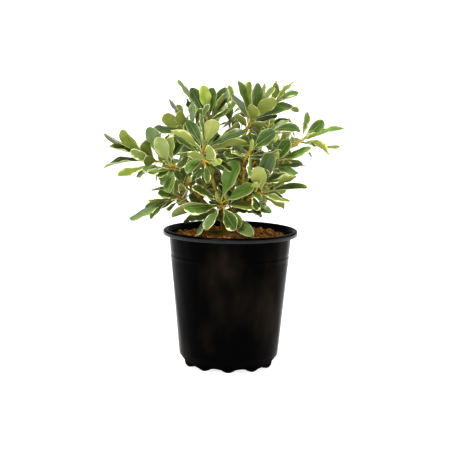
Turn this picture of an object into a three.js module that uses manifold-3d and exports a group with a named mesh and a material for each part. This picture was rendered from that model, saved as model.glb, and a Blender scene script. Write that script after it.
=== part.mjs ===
// A variegated Japanese mock orange (Pittosporum tobira) in its black nursery pot.
// Millimetres, +Z up. The origin is the middle of the flat foot under the pot.
import * as THREE from "three";
import { mergeVertices } from "three/addons/utils/BufferGeometryUtils.js";
import Module from "manifold-3d";

const wasm = await Module();
wasm.setup();

// Driving dimensions of the pot
const GAP = 0.3; // left between neighbouring pieces
const POT_HEIGHT = 170;
const LIP_RADIUS = 82.7;
const LIP_CREST_RADIUS = 79.6;
const LIP_DROP = 6.4; // how far the rolled lip hangs down outside the wall
const LIP_WALL = 1.6;
const LIP_ROUND = 3.2; // height of the rounding at the top of the lip
const LIP_EDGE = 1.6; // height of the rounding at its lower edge
const MOUTH_RADIUS = 76.2;
const POT_WALL = 1.5;
const WALL_FOOT_RADIUS = 61.3;
const WALL_FOOT_HEIGHT = 21.7;
const WALL_SLOPE = 0.1; // how fast the wall widens as it rises
const BAND_HEIGHT = 138; // a small step runs round the wall here
const BAND_STEP = 0.7;
const BAND_RISE = 1.2; // height of that step
const CHAMFER_RADIUS = 52.5; // where the floor turns up into the wall
const HEEL_HEIGHT = 16;
const HEEL_INSET = 1.4;
const FLOOR_UNDERSIDE = 5;
const FLOOR_THICKNESS = 2;
const FLOOR_TOP = FLOOR_UNDERSIDE + FLOOR_THICKNESS;
const PAD_RADIUS = 18; // the flat foot in the middle of the floor
const PAD_FLARE = 2;
const POT_SIDES = 40;
const LOBES = 10; // rounded feet round the floor's edge
const LOBE_RING = 47.5;
const LOBE_PROFILE = [[5.6, 0], [8, 1.8], [9.3, 8]];
const LOBE_SIDES = 8;
const DRAIN_HOLES = 5;
const DRAIN_RING = 31;
const DRAIN_RADIUS = 4.5;
const DRAIN_SIDES = 14;

// Driving dimensions of the potting mix
const MIX_LEVEL = 163;
const MIX_RINGS = 6;
const MIX_SIDES = 28;
const MIX_RELIEF = 1.6; // how far the chunks stand up or sink
const MIX_EDGE_DROP = 2.5;
const MIX_INSET = 1.2; // clear of the pot's wall, for its flat facets
const MIX_FLAT = 16; // radius of the level patch that the trunk stands on

// Driving dimensions of the limbs
const TRUNK_FOOT = [-6, -4, MIX_LEVEL + GAP];
const TRUNK_FORK = [-13, -13, 197];
const TRUNK_FLARE = 7; // root flare at the mix
const TRUNK_RADIUS = 4.7;
const FORK_RADIUS = 3.8;
const FLARE_HEIGHT = 7;
const TRUNK_BOW = [1.5, 1, 0];
const TRUNK_RINGS = [0, 0.08, 0.2, 0.4, 0.6, 0.8, 1]; // shares of its length
const TRUNK_SIDES = 9;
const LIMB_SIDES = 7;
const LIMB_STEPS = 5;

// Each bough leaves its parent at a share of that limb's length, and bows by this much halfway.
const BOUGHS = {
  bough_top_left: { from: "trunk", at: 1, tip: [-27, -2, 274], bow: [-3, 3, -2], radii: [3.6, 2] },
  bough_centre: { from: "trunk", at: 0.9, tip: [-32, -46, 254], bow: [2, -2, 2], radii: [2.9, 2] },
  bough_top_right: { from: "trunk", at: 0.93, tip: [13, -12, 276], bow: [4, 2, -3], radii: [3, 2.1] },
  bough_rear: { from: "trunk", at: 0.8, tip: [-6, 42, 252], bow: [0, 8, -8], radii: [3, 2.1] },
  bough_right_mid: { from: "trunk", at: 0.84, tip: [38, -25, 238], bow: [4, -2, -7], radii: [3, 2.1] },
  bough_left: { from: "trunk", at: 0.74, tip: [-56, -20, 236], bow: [-2, -2, -5], radii: [2.9, 2.1] },
  bough_low_right: { from: "trunk", at: 0.64, tip: [20, -30, 210], bow: [1, -2, -3], radii: [2.6, 2] },
  bough_low_left: { from: "trunk", at: 0.54, tip: [-54, -5, 204], bow: [0, 0, -3], radii: [2.6, 1.9] },
  bough_front_low: { from: "trunk", at: 0.74, tip: [-9, -21, 193], bow: [0, -1, -1], radii: [2.6, 2.2] },
  bough_right: { from: "bough_top_right", at: 0.5, tip: [32, -24, 270], bow: [3, -2, -3], radii: [2.2, 1.7] },
  bough_far_right: {
    from: "bough_right_mid", at: 0.55, tip: [68, -4, 268], bow: [2, 2, -6], radii: [2.3, 1.8],
  },
  bough_front_right: {
    from: "bough_right_mid", at: 0.35, tip: [14, -44, 248], bow: [2, -4, -3], radii: [2.2, 1.7],
  },
  bough_middle: { from: "bough_rear", at: 0.45, tip: [-4, 14, 268], bow: [0, 3, -3], radii: [2.2, 1.8] },
  bough_rear_left: { from: "bough_rear", at: 0.2, tip: [-42, 42, 232], bow: [-4, 4, -5], radii: [2.3, 1.8] },
  bough_rear_right: { from: "bough_rear", at: 0.32, tip: [36, 42, 234], bow: [4, 4, -6], radii: [2.3, 1.8] },
};

// Each mass grows on from one bough, in shoots that each end in a whorl of leaves. A shoot has
// its tip, its leaves, the length of the longest, the turn of the whorl in degrees, and how
// far from the shoot the innermost and outermost leaves lean. Where leaves reach out of the
// crown or stand in front of it, reaching gives the tips of those leaves, after some of them how
// many degrees the blade is rolled about its own length, and after a few its bend in radians.
const MASSES = [
  {
    name: "leaves_front_low",
    from: "bough_front_low",
    shoots: [
      {
        tip: [-13, -35, 207], leaves: 17, length: 46, turn: 0, lean: [22, 118],
        reaching: [
          [7, -51, 260, 20], [27, -46, 236, 15], [-47, -59, 228, -10], [-72, -39, 190, 75],
          [-28, -61, 177, 15], [26, -58, 170, -30], [6, -64, 179, 30], [31, -55, 204, -15],
          [-25, -25, 238, -45], [-53, -52, 196, -10],
        ],
      },
    ],
  },
  {
    name: "leaves_low_right",
    from: "bough_low_right",
    shoots: [
      {
        tip: [38, -38, 220], leaves: 8, length: 44, turn: 100, lean: [12, 54],
        reaching: [
          [31, -72, 248, 90], [78, -48, 242, -115], [91, -47, 228, -20], [70, -69, 214, 25],
          [64, -64, 208, -35], [46, -43, 272, -45],
        ],
      },
    ],
  },
  {
    name: "leaves_low_left",
    from: "bough_low_left",
    shoots: [
      {
        tip: [-70, -8, 210], leaves: 12, length: 42, turn: 60, lean: [15, 66],
        reaching: [
          [-123, -28, 184, -5], [-96, -41, 186, -10], [-98, 18, 215, 50, 1.2], [-89, -27, 215, -95],
        ],
      },
      {
        tip: [-53, -34, 229], leaves: 8, length: 28, turn: 10, lean: [20, 84],
        reaching: [
          [-69, -48, 246, -15],
        ],
      },
    ],
  },
  {
    name: "leaves_left",
    from: "bough_left",
    shoots: [
      {
        tip: [-75, -34, 249], leaves: 13, length: 40, turn: 90, lean: [12, 84],
        reaching: [
          [-89, -52, 287, 55], [-103, -19, 295, -15], [-71, -51, 288, -5], [-89, -58, 240, -20],
        ],
      },
      {
        tip: [-102, -14, 253], leaves: 12, length: 38, turn: 30, lean: [12, 76],
        reaching: [
          [-156, -14, 287, 50], [-151, -15, 270, -115], [-135, -12, 291, 65], [-156, -4, 243, -15],
          [-138, -35, 238, -75], [-122, -38, 269, 130],
        ],
      },
    ],
  },
  {
    name: "leaves_centre",
    from: "bough_centre",
    shoots: [
      {
        tip: [-34, -56, 275], leaves: 16, length: 42, turn: 200, lean: [15, 90],
        reaching: [
          [-21, -79, 311, -40], [-39, -70, 317, -20], [-54, -31, 306, -5], [7, -43, 305, -55],
          [16, -54, 299, 15], [18, -56, 283, -50], [-72, -72, 297, 45],
        ],
      },
      {
        tip: [-27, -60, 258], leaves: 5, length: 26, turn: 0, lean: [30, 80],
        reaching: [
          [-52, -83, 273, 115], [-23, -91, 278, 60],
        ],
      },
    ],
  },
  {
    name: "leaves_top_left",
    from: "bough_top_left",
    shoots: [
      {
        tip: [-29, -8, 305], leaves: 16, length: 42, turn: 100, lean: [10, 86],
        reaching: [
          [-37, -12, 347, -5], [-51, 3, 343, -5], [-25, -5, 344, 5], [-8, -17, 339, -30],
          [4, -24, 327, 25], [-5, -5, 343, 5],
        ],
      },
      {
        tip: [-45, 12, 313], leaves: 9, length: 36, turn: 150, lean: [12, 84],
        reaching: [
          [-68, 14, 351, -105], [-56, -10, 329, -125],
        ],
      },
      {
        tip: [-55, -18, 294], leaves: 14, length: 40, turn: 40, lean: [12, 90],
        reaching: [
          [-84, -41, 311, -20], [-65, 13, 321, -70, 1.2], [-83, 0, 323, -35], [-67, -46, 315, -35],
          [-94, -34, 296, -5], [-47, -32, 327, 20],
        ],
      },
    ],
  },
  {
    name: "leaves_middle",
    from: "bough_middle",
    shoots: [
      { tip: [-4, 16, 314], leaves: 12, length: 36, turn: 140, lean: [12, 90] },
      { tip: [12, 8, 280], leaves: 10, length: 38, turn: 20, lean: [15, 95] },
      { tip: [-34, 22, 272], leaves: 10, length: 38, turn: 80, lean: [15, 95] },
    ],
  },
  {
    name: "leaves_top_right",
    from: "bough_top_right",
    shoots: [
      {
        tip: [23, -22, 306], leaves: 18, length: 44, turn: 10, lean: [10, 92],
        reaching: [
          [5, -32, 354, -10], [30, -22, 352, 20], [72, 0, 324, -5], [50, -41, 335, -45],
          [26, -53, 326, -10], [0, 7, 335, 15], [32, -42, 287, -20], [26, -19, 356, 10],
          [50, -20, 347, -40],
        ],
      },
      {
        tip: [52, 4, 326], leaves: 12, length: 34, turn: 90, lean: [10, 66],
        reaching: [
          [73, -10, 353, 70], [80, 20, 339, 25], [81, -11, 331, 55],
        ],
      },
    ],
  },
  {
    name: "leaves_right",
    from: "bough_right",
    shoots: [
      {
        tip: [43, -34, 291], leaves: 12, length: 38, turn: 80, lean: [18, 92],
        reaching: [
          [65, -2, 308, -20], [81, -53, 297, 10, 1.2],
        ],
      },
    ],
  },
  {
    name: "leaves_front_right",
    from: "bough_front_right",
    shoots: [
      {
        tip: [21, -58, 272], leaves: 10, length: 40, turn: 30, lean: [18, 90],
        reaching: [
          [51, -78, 298, 35], [20, -88, 245, -55], [1, -91, 273, 10],
        ],
      },
    ],
  },
  {
    name: "leaves_right_mid",
    from: "bough_right_mid",
    shoots: [
      {
        tip: [51, -34, 256], leaves: 10, length: 40, turn: 50, lean: [12, 66],
        reaching: [
          [95, -46, 277, -5], [69, -64, 280, 130], [56, -57, 282, -65], [77, -64, 246, 5],
        ],
      },
    ],
  },
  {
    name: "leaves_far_right",
    from: "bough_far_right",
    shoots: [
      {
        tip: [86, -4, 282], leaves: 10, length: 34, turn: 0, lean: [12, 74],
        reaching: [
          [92, 12, 315, -15], [112, 14, 304, -5], [138, 5, 296, -15], [131, -14, 277, -10],
          [117, -25, 266, -10, 1],
        ],
      },
    ],
  },
  {
    name: "leaves_rear_left",
    from: "bough_rear_left",
    shoots: [
      { tip: [-62, 50, 262], leaves: 14, length: 42, turn: 0, lean: [14, 86] },
      { tip: [-60, 62, 226], leaves: 10, length: 42, turn: 70, lean: [18, 80] },
    ],
  },
  {
    name: "leaves_rear",
    from: "bough_rear",
    shoots: [
      { tip: [-30, 58, 292], leaves: 13, length: 42, turn: 120, lean: [12, 92] },
      { tip: [20, 60, 290], leaves: 14, length: 42, turn: 30, lean: [12, 92] },
      { tip: [10, 84, 258], leaves: 11, length: 42, turn: 200, lean: [14, 84] },
    ],
  },
  {
    name: "leaves_rear_right",
    from: "bough_rear_right",
    shoots: [
      { tip: [54, 52, 262], leaves: 12, length: 40, turn: 10, lean: [14, 80] },
      { tip: [40, 70, 228], leaves: 11, length: 42, turn: 80, lean: [18, 84] },
    ],
  },
];

// Driving dimensions of the twigs and leaves
const SEED = 4100;
const GOLDEN_TURN = 137.5; // degrees from one leaf of a whorl to the next
const LEAFY_LENGTH = 13; // the end of a shoot that carries leaves
const STEM_RADIUS = 2; // of a mass's stem, where it leaves its bough
const TWIG_RADIUS = 1.7;
const TWIG_TIP_RADIUS = 1.1;
const TWIG_SIDES = 3;
const TWIG_STEPS = 4;
const TWIG_FORK = 0.12; // share of the stem's length at which the other twigs leave it
const TWIG_LEAD = 0.45; // share of a twig's reach over which it keeps its bough's direction
const UPWARD = 0.4; // how strongly a shoot turns up towards the light
const LEAF_SIZES = [0.9, 1.1]; // the smallest and largest leaf, as shares of the whorl's own size
const BLADE_WIDTH = 0.185; // widest half of a blade as a share of its length
const BLADE_BREADTH = [0.88, 1.2]; // the narrowest and broadest blade, as shares of that
const FOOT_WIDTH = 0.085; // of a blade's widest half
const FOOT_SHARE = 0.1; // of the blade's length
const WIDEST_AT = 0.66; // along the rest of the blade
const LEAF_BEND = [0.15, 0.75]; // the least bend from foot to tip in radians, and how much is added
const BENT_BACK = 0.18; // share of the leaves that curve up, less strongly
const BENT_BACK_SIZE = -0.6;
const LEAF_CUP = [-0.12, 0.28]; // how far the margins stand above the midrib, as shares of the half width
const LEAF_TWIST = 0.7; // radians from foot to tip
const REACHING_TWIST = 0.35; // share of that in the leaves that reach out
const TURN_JITTER = 26; // degrees, as the next two
const LEAN_JITTER = 16;
const ROLL_JITTER = 40;
const LEAF_THICKNESS = 0.024; // at the midrib, as a share of the length
const LEAF_ROWS = [0.3, 0.64, 0.88];
const CLEARANCE = 2.6; // between the points spread over leaves of different shoots
const SHOOT_CLEARANCE = 1.6; // between those of one shoot
const LIMB_CLEARANCE = 1.6;
const LIP_CLEARANCE = 4;
const MIX_CLEARANCE = 1.5;
const LIMB_TESTS = 24; // places along a limb where leaves are kept clear of it
const SPREAD_ROWS = 12;
const SPREAD_FOOT = 0.2; // share of the blade's length left out of those rows at its foot
const SPREAD_WIDTH = 0.92;
// A leaf with something in its way tries these in turn: degrees aside, degrees of lean, size.
const TRIES = [
  [0, 0, 1], [14, 0, 1], [-14, 0, 1], [0, -14, 0.95], [0, 12, 0.95], [28, -8, 0.9], [-28, -8, 0.9],
];

const vector = (place) => new THREE.Vector3(...place);
const radians = THREE.MathUtils.degToRad;

// Random numbers between 0 and 1 that are the same in each run.
function seeded(seed) {
  let state = seed | 0;
  return () => {
    state = (state + 0x6d2b79f5) | 0;
    let mixed = Math.imul(state ^ (state >>> 15), 1 | state);
    mixed = (mixed + Math.imul(mixed ^ (mixed >>> 7), 61 | mixed)) ^ mixed;
    return ((mixed ^ (mixed >>> 14)) >>> 0) / 4294967296;
  };
}

// A three.js geometry as a solid that can be joined and cut.
function solidOf(geometry) {
  const bare = geometry.clone();
  bare.deleteAttribute("normal");
  bare.deleteAttribute("uv");
  const merged = mergeVertices(bare, 1e-4);
  const kept = [];
  const index = merged.index.array;
  for (let i = 0; i < index.length; i += 3) {
    const [a, b, c] = index.slice(i, i + 3);
    if (a !== b && b !== c && c !== a) kept.push(a, b, c);
  }
  const vertProperties = merged.attributes.position.array;
  return new wasm.Manifold(
    new wasm.Mesh({ numProp: 3, vertProperties, triVerts: new Uint32Array(kept) }),
  );
}

// The largest body of a solid, without loose scraps, its sealed hollows filled.
function mainBody(solid) {
  const bodies = solid.decompose();
  return bodies.reduce((best, body) => (body.volume() > best.volume() ? body : best));
}

function geometryOf(solid) {
  const mesh = solid.getMesh();
  const geometry = new THREE.BufferGeometry();
  geometry.setAttribute("position", new THREE.BufferAttribute(mesh.vertProperties, 3));
  geometry.setIndex(new THREE.BufferAttribute(mesh.triVerts, 1));
  geometry.computeVertexNormals();
  return geometry;
}

// A closed surface through rings of points. The first and last ring may be a single point.
function skin(rings) {
  const positions = [];
  const starts = [];
  const index = [];
  for (const ring of rings) {
    starts.push(positions.length / 3);
    ring.forEach((point) => positions.push(point.x, point.y, point.z));
  }
  for (let k = 0; k + 1 < rings.length; k++) {
    const here = rings[k].length;
    const next = rings[k + 1].length;
    for (let j = 0; j < Math.max(here, next); j++) {
      const a = starts[k] + (j % here);
      const b = starts[k] + ((j + 1) % here);
      const c = starts[k + 1] + (j % next);
      const d = starts[k + 1] + ((j + 1) % next);
      if (here > 1) index.push(a, b, c);
      if (next > 1) index.push(b, d, c);
    }
  }
  const last = rings.length - 1;
  for (let j = 1; j + 1 < rings[0].length; j++) index.push(0, j + 1, j);
  for (let j = 1; j + 1 < rings[last].length; j++) {
    index.push(starts[last], starts[last] + j, starts[last] + j + 1);
  }
  const geometry = new THREE.BufferGeometry();
  geometry.setAttribute("position", new THREE.Float32BufferAttribute(positions, 3));
  geometry.setIndex(index);
  return geometry;
}

function lathe(profile, sides) {
  const points = profile.map(([radius, height]) => new THREE.Vector2(radius, height));
  return new THREE.LatheGeometry(points, sides).rotateX(Math.PI / 2);
}

// The outside of the pot's wall at a height
function wallRadius(height) {
  return WALL_FOOT_RADIUS + WALL_SLOPE * (height - WALL_FOOT_HEIGHT);
}

function potSolid() {
  const lipUnderside = POT_HEIGHT - LIP_DROP;
  const neck = wallRadius(lipUnderside);
  const band = wallRadius(BAND_HEIGHT);
  const heel = WALL_FOOT_RADIUS - HEEL_INSET;
  const lipInside = LIP_RADIUS - LIP_WALL;
  const outside = [
    [0, 0],
    [PAD_RADIUS, 0],
    [PAD_RADIUS + PAD_FLARE, FLOOR_UNDERSIDE],
    [CHAMFER_RADIUS, FLOOR_UNDERSIDE + 1],
    [heel, HEEL_HEIGHT],
    [WALL_FOOT_RADIUS, WALL_FOOT_HEIGHT],
    [band, BAND_HEIGHT],
    [band - BAND_STEP, BAND_HEIGHT + BAND_RISE],
    [neck, lipUnderside],
    [MOUTH_RADIUS + 0.6, POT_HEIGHT - LIP_WALL - 1],
    [LIP_CREST_RADIUS - 0.6, POT_HEIGHT - LIP_WALL],
    [lipInside, POT_HEIGHT - LIP_ROUND],
    [lipInside, lipUnderside + 0.4],
    [LIP_RADIUS - 0.3, lipUnderside],
    [LIP_RADIUS, lipUnderside + LIP_EDGE],
    [LIP_RADIUS, POT_HEIGHT - LIP_ROUND],
    [LIP_RADIUS - 1, POT_HEIGHT - 0.9],
    [LIP_CREST_RADIUS, POT_HEIGHT],
    [MOUTH_RADIUS + 1.4, POT_HEIGHT - 0.8],
  ];
  const inside = [
    [MOUTH_RADIUS - 1, POT_HEIGHT - LIP_ROUND],
    [neck - POT_WALL, lipUnderside],
    [band - BAND_STEP - POT_WALL, BAND_HEIGHT + BAND_RISE],
    [band - BAND_STEP - POT_WALL, BAND_HEIGHT],
    [WALL_FOOT_RADIUS - POT_WALL, WALL_FOOT_HEIGHT],
    [heel - POT_WALL, HEEL_HEIGHT],
    [CHAMFER_RADIUS - 0.8, FLOOR_TOP + 1],
    [0, FLOOR_TOP],
  ];
  let pot = solidOf(lathe([...outside, ...inside], POT_SIDES));
  const room = solidOf(lathe(floorRoom(), POT_SIDES));
  for (let i = 0; i < LOBES; i++) {
    const turn = (i / LOBES) * 2 * Math.PI - Math.PI / 2;
    const lobe = lathe([[0, 0], ...LOBE_PROFILE, [0, LOBE_PROFILE.at(-1)[1]]], LOBE_SIDES);
    lobe.translate(LOBE_RING * Math.cos(turn), LOBE_RING * Math.sin(turn), 0);
    pot = pot.add(solidOf(lobe).subtract(room));
  }
  for (let i = 0; i < DRAIN_HOLES; i++) {
    const turn = (i / DRAIN_HOLES) * 2 * Math.PI + Math.PI / 2;
    const depth = 3 * FLOOR_THICKNESS;
    const hole = new THREE.CylinderGeometry(DRAIN_RADIUS, DRAIN_RADIUS, 2 * depth, DRAIN_SIDES);
    hole.rotateX(Math.PI / 2);
    hole.translate(DRAIN_RING * Math.cos(turn), DRAIN_RING * Math.sin(turn), FLOOR_UNDERSIDE);
    pot = pot.subtract(solidOf(hole));
  }
  return mainBody(pot);
}

// The room just over the pot's floor, which the tops of the rounded feet stay out of.
function floorRoom() {
  const sunk = FLOOR_TOP - 0.6;
  return [[0, sunk], [CHAMFER_RADIUS - 1.2, sunk], [CHAMFER_RADIUS + 4, 20], [0, 20]];
}

function mixSolid() {
  const draw = seeded(SEED);
  const inset = POT_WALL + GAP + MIX_INSET;
  const edge = wallRadius(MIX_LEVEL - MIX_EDGE_DROP) - inset;
  const ring = (radius, height, relief) => {
    const points = [];
    for (let j = 0; j < MIX_SIDES; j++) {
      const turn = (-j / MIX_SIDES) * 2 * Math.PI;
      const x = radius * Math.cos(turn);
      const y = radius * Math.sin(turn);
      const fromTrunk = Math.hypot(x - TRUNK_FOOT[0], y - TRUNK_FOOT[1]);
      const rise = (draw() * 2 - 1) * relief;
      points.push(new THREE.Vector3(x, y, height + (fromTrunk < MIX_FLAT ? 0 : rise)));
    }
    return points;
  };
  const rings = [[new THREE.Vector3(0, 0, MIX_LEVEL)]];
  for (let k = 1; k <= MIX_RINGS; k++) {
    const share = k / MIX_RINGS;
    rings.push(ring(edge * share, MIX_LEVEL - MIX_EDGE_DROP * share ** 4, MIX_RELIEF));
  }
  rings.push(ring(wallRadius(BAND_HEIGHT) - BAND_STEP - inset, BAND_HEIGHT, 0));
  rings.push(ring(WALL_FOOT_RADIUS - inset, WALL_FOOT_HEIGHT, 0));
  rings.push(ring(CHAMFER_RADIUS - inset, FLOOR_TOP + GAP + 1.2, 0));
  rings.push([new THREE.Vector3(0, 0, FLOOR_TOP + GAP)]);
  return solidOf(skin(rings));
}

// A limb that tapers along a curve, from the radius at its start to that at its tip.
function limbSolid(curve, radiusAt, steps, sides) {
  const chord = curve.getPoint(1).sub(curve.getPoint(0)).normalize();
  const steep = Math.abs(chord.z) > 0.98;
  const level = steep ? new THREE.Vector3(1, 0, 0) : new THREE.Vector3(-chord.y, chord.x, 0).normalize();
  const rings = [];
  for (let i = 0; i <= steps; i++) {
    const share = i / steps;
    const centre = curve.getPoint(share);
    const along = curve.getTangent(share);
    const across = level.clone().addScaledVector(along, -level.dot(along)).normalize();
    const other = new THREE.Vector3().crossVectors(along, across);
    const ring = [];
    for (let j = 0; j < sides; j++) {
      const turn = (-j / sides) * 2 * Math.PI;
      const out = across.clone().multiplyScalar(Math.cos(turn)).addScaledVector(other, Math.sin(turn));
      ring.push(centre.clone().addScaledVector(out, radiusAt(share)));
    }
    rings.push(ring);
  }
  return solidOf(skin(rings.reverse()));
}

// The trunk's own rings are level at its foot, so that it stands flat on the mix.
function trunkSolid(trunk, extra) {
  const rings = TRUNK_RINGS.map((share) => {
    const centre = trunk.curve.getPoint(share);
    const ring = [];
    for (let j = 0; j < TRUNK_SIDES; j++) {
      const turn = (-j / TRUNK_SIDES) * 2 * Math.PI;
      const out = new THREE.Vector3(Math.cos(turn), Math.sin(turn), 0);
      ring.push(centre.clone().addScaledVector(out, trunk.radiusAt(share) + extra));
    }
    return ring;
  });
  return solidOf(skin(rings.reverse()));
}

// The paths of all limbs, worked out before anything is built.
function growLimbs() {
  const limbs = new Map();
  const foot = vector(TRUNK_FOOT);
  const fork = vector(TRUNK_FORK);
  const middle = foot.clone().lerp(fork, 0.5).add(vector(TRUNK_BOW));
  const flareShare = FLARE_HEIGHT / (fork.z - foot.z);
  limbs.set("trunk", {
    curve: new THREE.QuadraticBezierCurve3(foot, middle, fork),
    radiusAt: (share) => {
      const flare = Math.max(0, 1 - share / flareShare);
      const stem = TRUNK_RADIUS + (FORK_RADIUS - TRUNK_RADIUS) * share;
      return stem + (TRUNK_FLARE - TRUNK_RADIUS) * flare * flare;
    },
  });
  for (const [name, { from, at, tip, bow, radii }] of Object.entries(BOUGHS)) {
    const start = limbs.get(from).curve.getPoint(at);
    const end = vector(tip);
    const bend = start.clone().lerp(end, 0.5).addScaledVector(vector(bow), 2);
    limbs.set(name, {
      curve: new THREE.QuadraticBezierCurve3(start, bend, end),
      radiusAt: (share) => radii[0] + (radii[1] - radii[0]) * share,
    });
  }
  return limbs;
}

// A mass's stem runs on from its bough's tip to the first shoot, and a twig leaves it for each
// of the others.
function growTwigs(mass, limbs) {
  const limb = limbs.get(mass.from);
  const along = limb.curve.getTangent(1);
  const start = limb.curve.getPoint(1).addScaledVector(along, GAP);
  const radius = Math.min(limb.radiusAt(1), STEM_RADIUS);
  let stem = null;
  return mass.shoots.map((shoot) => {
    const tip = vector(shoot.tip);
    const from = stem ? stem.getPoint(TWIG_FORK) : start;
    const lead = from.distanceTo(tip) * TWIG_LEAD;
    const curve = new THREE.QuadraticBezierCurve3(from, from.clone().addScaledVector(along, lead), tip);
    stem = stem ?? curve;
    const axis = curve.getTangent(1).add(new THREE.Vector3(0, 0, UPWARD)).normalize();
    const thick = stem === curve ? radius : TWIG_RADIUS;
    const radiusAt = (share) => thick + (TWIG_TIP_RADIUS - thick) * share;
    return { reaching: [], ...shoot, axis, curve, reach: from.distanceTo(tip), radiusAt };
  });
}

// Half the width of a blade along its length: a narrow foot, widest past the middle, round tip.
function bladeShape(s) {
  if (s < FOOT_SHARE) return FOOT_WIDTH;
  const t = (s - FOOT_SHARE) / (1 - FOOT_SHARE);
  const swell = 0.5 - 0.5 * Math.cos(Math.PI * Math.min(1, t / WIDEST_AT) ** 0.9);
  const past = Math.max(0, (t - WIDEST_AT) / (1 - WIDEST_AT));
  const round = Math.sqrt(Math.max(0, 1 - past ** 2.2));
  return Math.max(FOOT_WIDTH * (1 - s), swell * round);
}

// Two directions square to a shoot's axis, the first of them level
function crossAxes(axis) {
  const level = new THREE.Vector3(axis.y, -axis.x, 0);
  if (level.length() < 0.02) level.set(1, 0, 0);
  level.normalize();
  return [level, new THREE.Vector3().crossVectors(level, axis)];
}

// The young leaves inside a whorl are short, those of its middle the longest.
function whorlSize(share) {
  return 0.7 + 0.34 * Math.sin(Math.PI * Math.min(1, 0.22 + 0.6 * share));
}

const between = ([least, most], draw) => least + (most - least) * draw();

// One leaf of a whorl. Every leaf draws from a seed of its own.
function growLeaf(shoot, number, seed) {
  const draw = seeded(seed);
  const share = number / Math.max(1, shoot.leaves - 1);
  const [inner, outer] = shoot.lean;
  const [leastBend, moreBend] = LEAF_BEND;
  const leaf = {
    axis: shoot.axis,
    base: shoot.curve.getPoint(1 - (0.5 + LEAFY_LENGTH * share) / shoot.reach),
    turn: shoot.turn + number * GOLDEN_TURN + (draw() - 0.5) * TURN_JITTER,
    lean: inner + (outer - inner) * share ** 0.8 + (draw() - 0.5) * LEAN_JITTER,
    fullLength: shoot.length * whorlSize(share) * between(LEAF_SIZES, draw),
    bend: (leastBend + moreBend * draw() * (0.4 + 0.6 * share)) * (draw() < BENT_BACK ? BENT_BACK_SIZE : 1),
    cup: between(LEAF_CUP, draw),
    twist: (draw() - 0.5) * LEAF_TWIST,
    broad: BLADE_WIDTH * between(BLADE_BREADTH, draw),
    roll: (draw() - 0.5) * ROLL_JITTER,
  };
  if (number < shoot.reaching.length) reachFor(leaf, shoot.reaching[number]);
  return leaf;
}

// Sets a leaf's turn, lean and length so that its bent blade ends at a place.
function reachFor(leaf, [x, y, z, roll = 0, bend = leaf.bend]) {
  const chord = new THREE.Vector3(x, y, z).sub(leaf.base);
  const [level, other] = crossAxes(leaf.axis);
  const half = bend / 2;
  leaf.bend = bend;
  leaf.twist *= REACHING_TWIST;
  leaf.turn = THREE.MathUtils.radToDeg(Math.atan2(chord.dot(other), chord.dot(level)));
  leaf.lean = THREE.MathUtils.radToDeg(chord.angleTo(leaf.axis) - half);
  leaf.fullLength = (chord.length() * half) / Math.sin(half);
  leaf.roll = roll;
}

// Points a leaf the way its turn and lean say, changed a little.
function aim(leaf, [aside, tilt, size]) {
  const [level, other] = crossAxes(leaf.axis);
  const turn = radians(leaf.turn + aside);
  const lean = radians(leaf.lean + tilt);
  const out = level.multiplyScalar(Math.cos(turn)).addScaledVector(other, Math.sin(turn));
  leaf.along = leaf.axis.clone().multiplyScalar(Math.cos(lean)).addScaledVector(out, Math.sin(lean));
  leaf.face = leaf.axis.clone().multiplyScalar(Math.sin(lean)).addScaledVector(out, -Math.cos(lean));
  const half = leaf.bend / 2;
  const chord = leaf.along.clone().multiplyScalar(Math.cos(half)).addScaledVector(leaf.face, -Math.sin(half));
  leaf.along.applyAxisAngle(chord, radians(leaf.roll));
  leaf.face.applyAxisAngle(chord, radians(leaf.roll));
  leaf.length = leaf.fullLength * size;
  leaf.halfWidth = leaf.length * leaf.broad;
}

// A point of the blade at a share of its length and of its half width, and the way it faces.
function bladePoint(leaf, s, u) {
  const angle = leaf.bend * s;
  const forward = (Math.sin(angle) / leaf.bend) * leaf.length;
  const down = ((1 - Math.cos(angle)) / leaf.bend) * leaf.length;
  const point = leaf.base.clone().addScaledVector(leaf.along, forward).addScaledVector(leaf.face, -down);
  const [sine, cosine] = [Math.sin(angle), Math.cos(angle)];
  const ahead = leaf.along.clone().multiplyScalar(cosine).addScaledVector(leaf.face, -sine);
  const faced = leaf.face.clone().multiplyScalar(cosine).addScaledVector(leaf.along, sine);
  const flat = new THREE.Vector3().crossVectors(ahead, faced);
  const roll = leaf.twist * s;
  const side = flat.clone().multiplyScalar(Math.cos(roll)).addScaledVector(faced, Math.sin(roll));
  const normal = faced.clone().multiplyScalar(Math.cos(roll)).addScaledVector(flat, -Math.sin(roll));
  const half = leaf.halfWidth * bladeShape(s);
  point.addScaledVector(side, u * half).addScaledVector(normal, leaf.cup * half * u * u);
  return { point, normal };
}

// Points spread over a blade, in rows from its foot to its tip, for telling what it comes near.
function spread(leaf) {
  const rows = [];
  for (let i = 0; i < SPREAD_ROWS; i++) {
    const s = SPREAD_FOOT + ((1 - SPREAD_FOOT) * i) / (SPREAD_ROWS - 1);
    rows.push([-1, -0.5, 0, 0.5, 1].map((u) => bladePoint(leaf, s, SPREAD_WIDTH * u).point));
  }
  const points = rows.flat();
  const middle = bladePoint(leaf, 0.6, 0).point;
  const reach = Math.max(...points.map((point) => point.distanceTo(middle)));
  return { points, outer: rows.slice(SPREAD_ROWS / 3).flat(), middle, reach };
}

function anyNearer(some, others, distance) {
  return some.some((a) => others.some((b) => a.distanceToSquared(b) < distance * distance));
}

// Leaves of one shoot meet at their feet, so there only their outer parts count.
function nearLeaf(leaf, other) {
  const a = leaf.spread;
  const b = other.spread;
  if (a.middle.distanceTo(b.middle) > a.reach + b.reach + CLEARANCE) return false;
  if (leaf.shoot === other.shoot) return anyNearer(a.outer, b.outer, SHOOT_CLEARANCE);
  return anyNearer(a.points, b.points, CLEARANCE);
}

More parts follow.
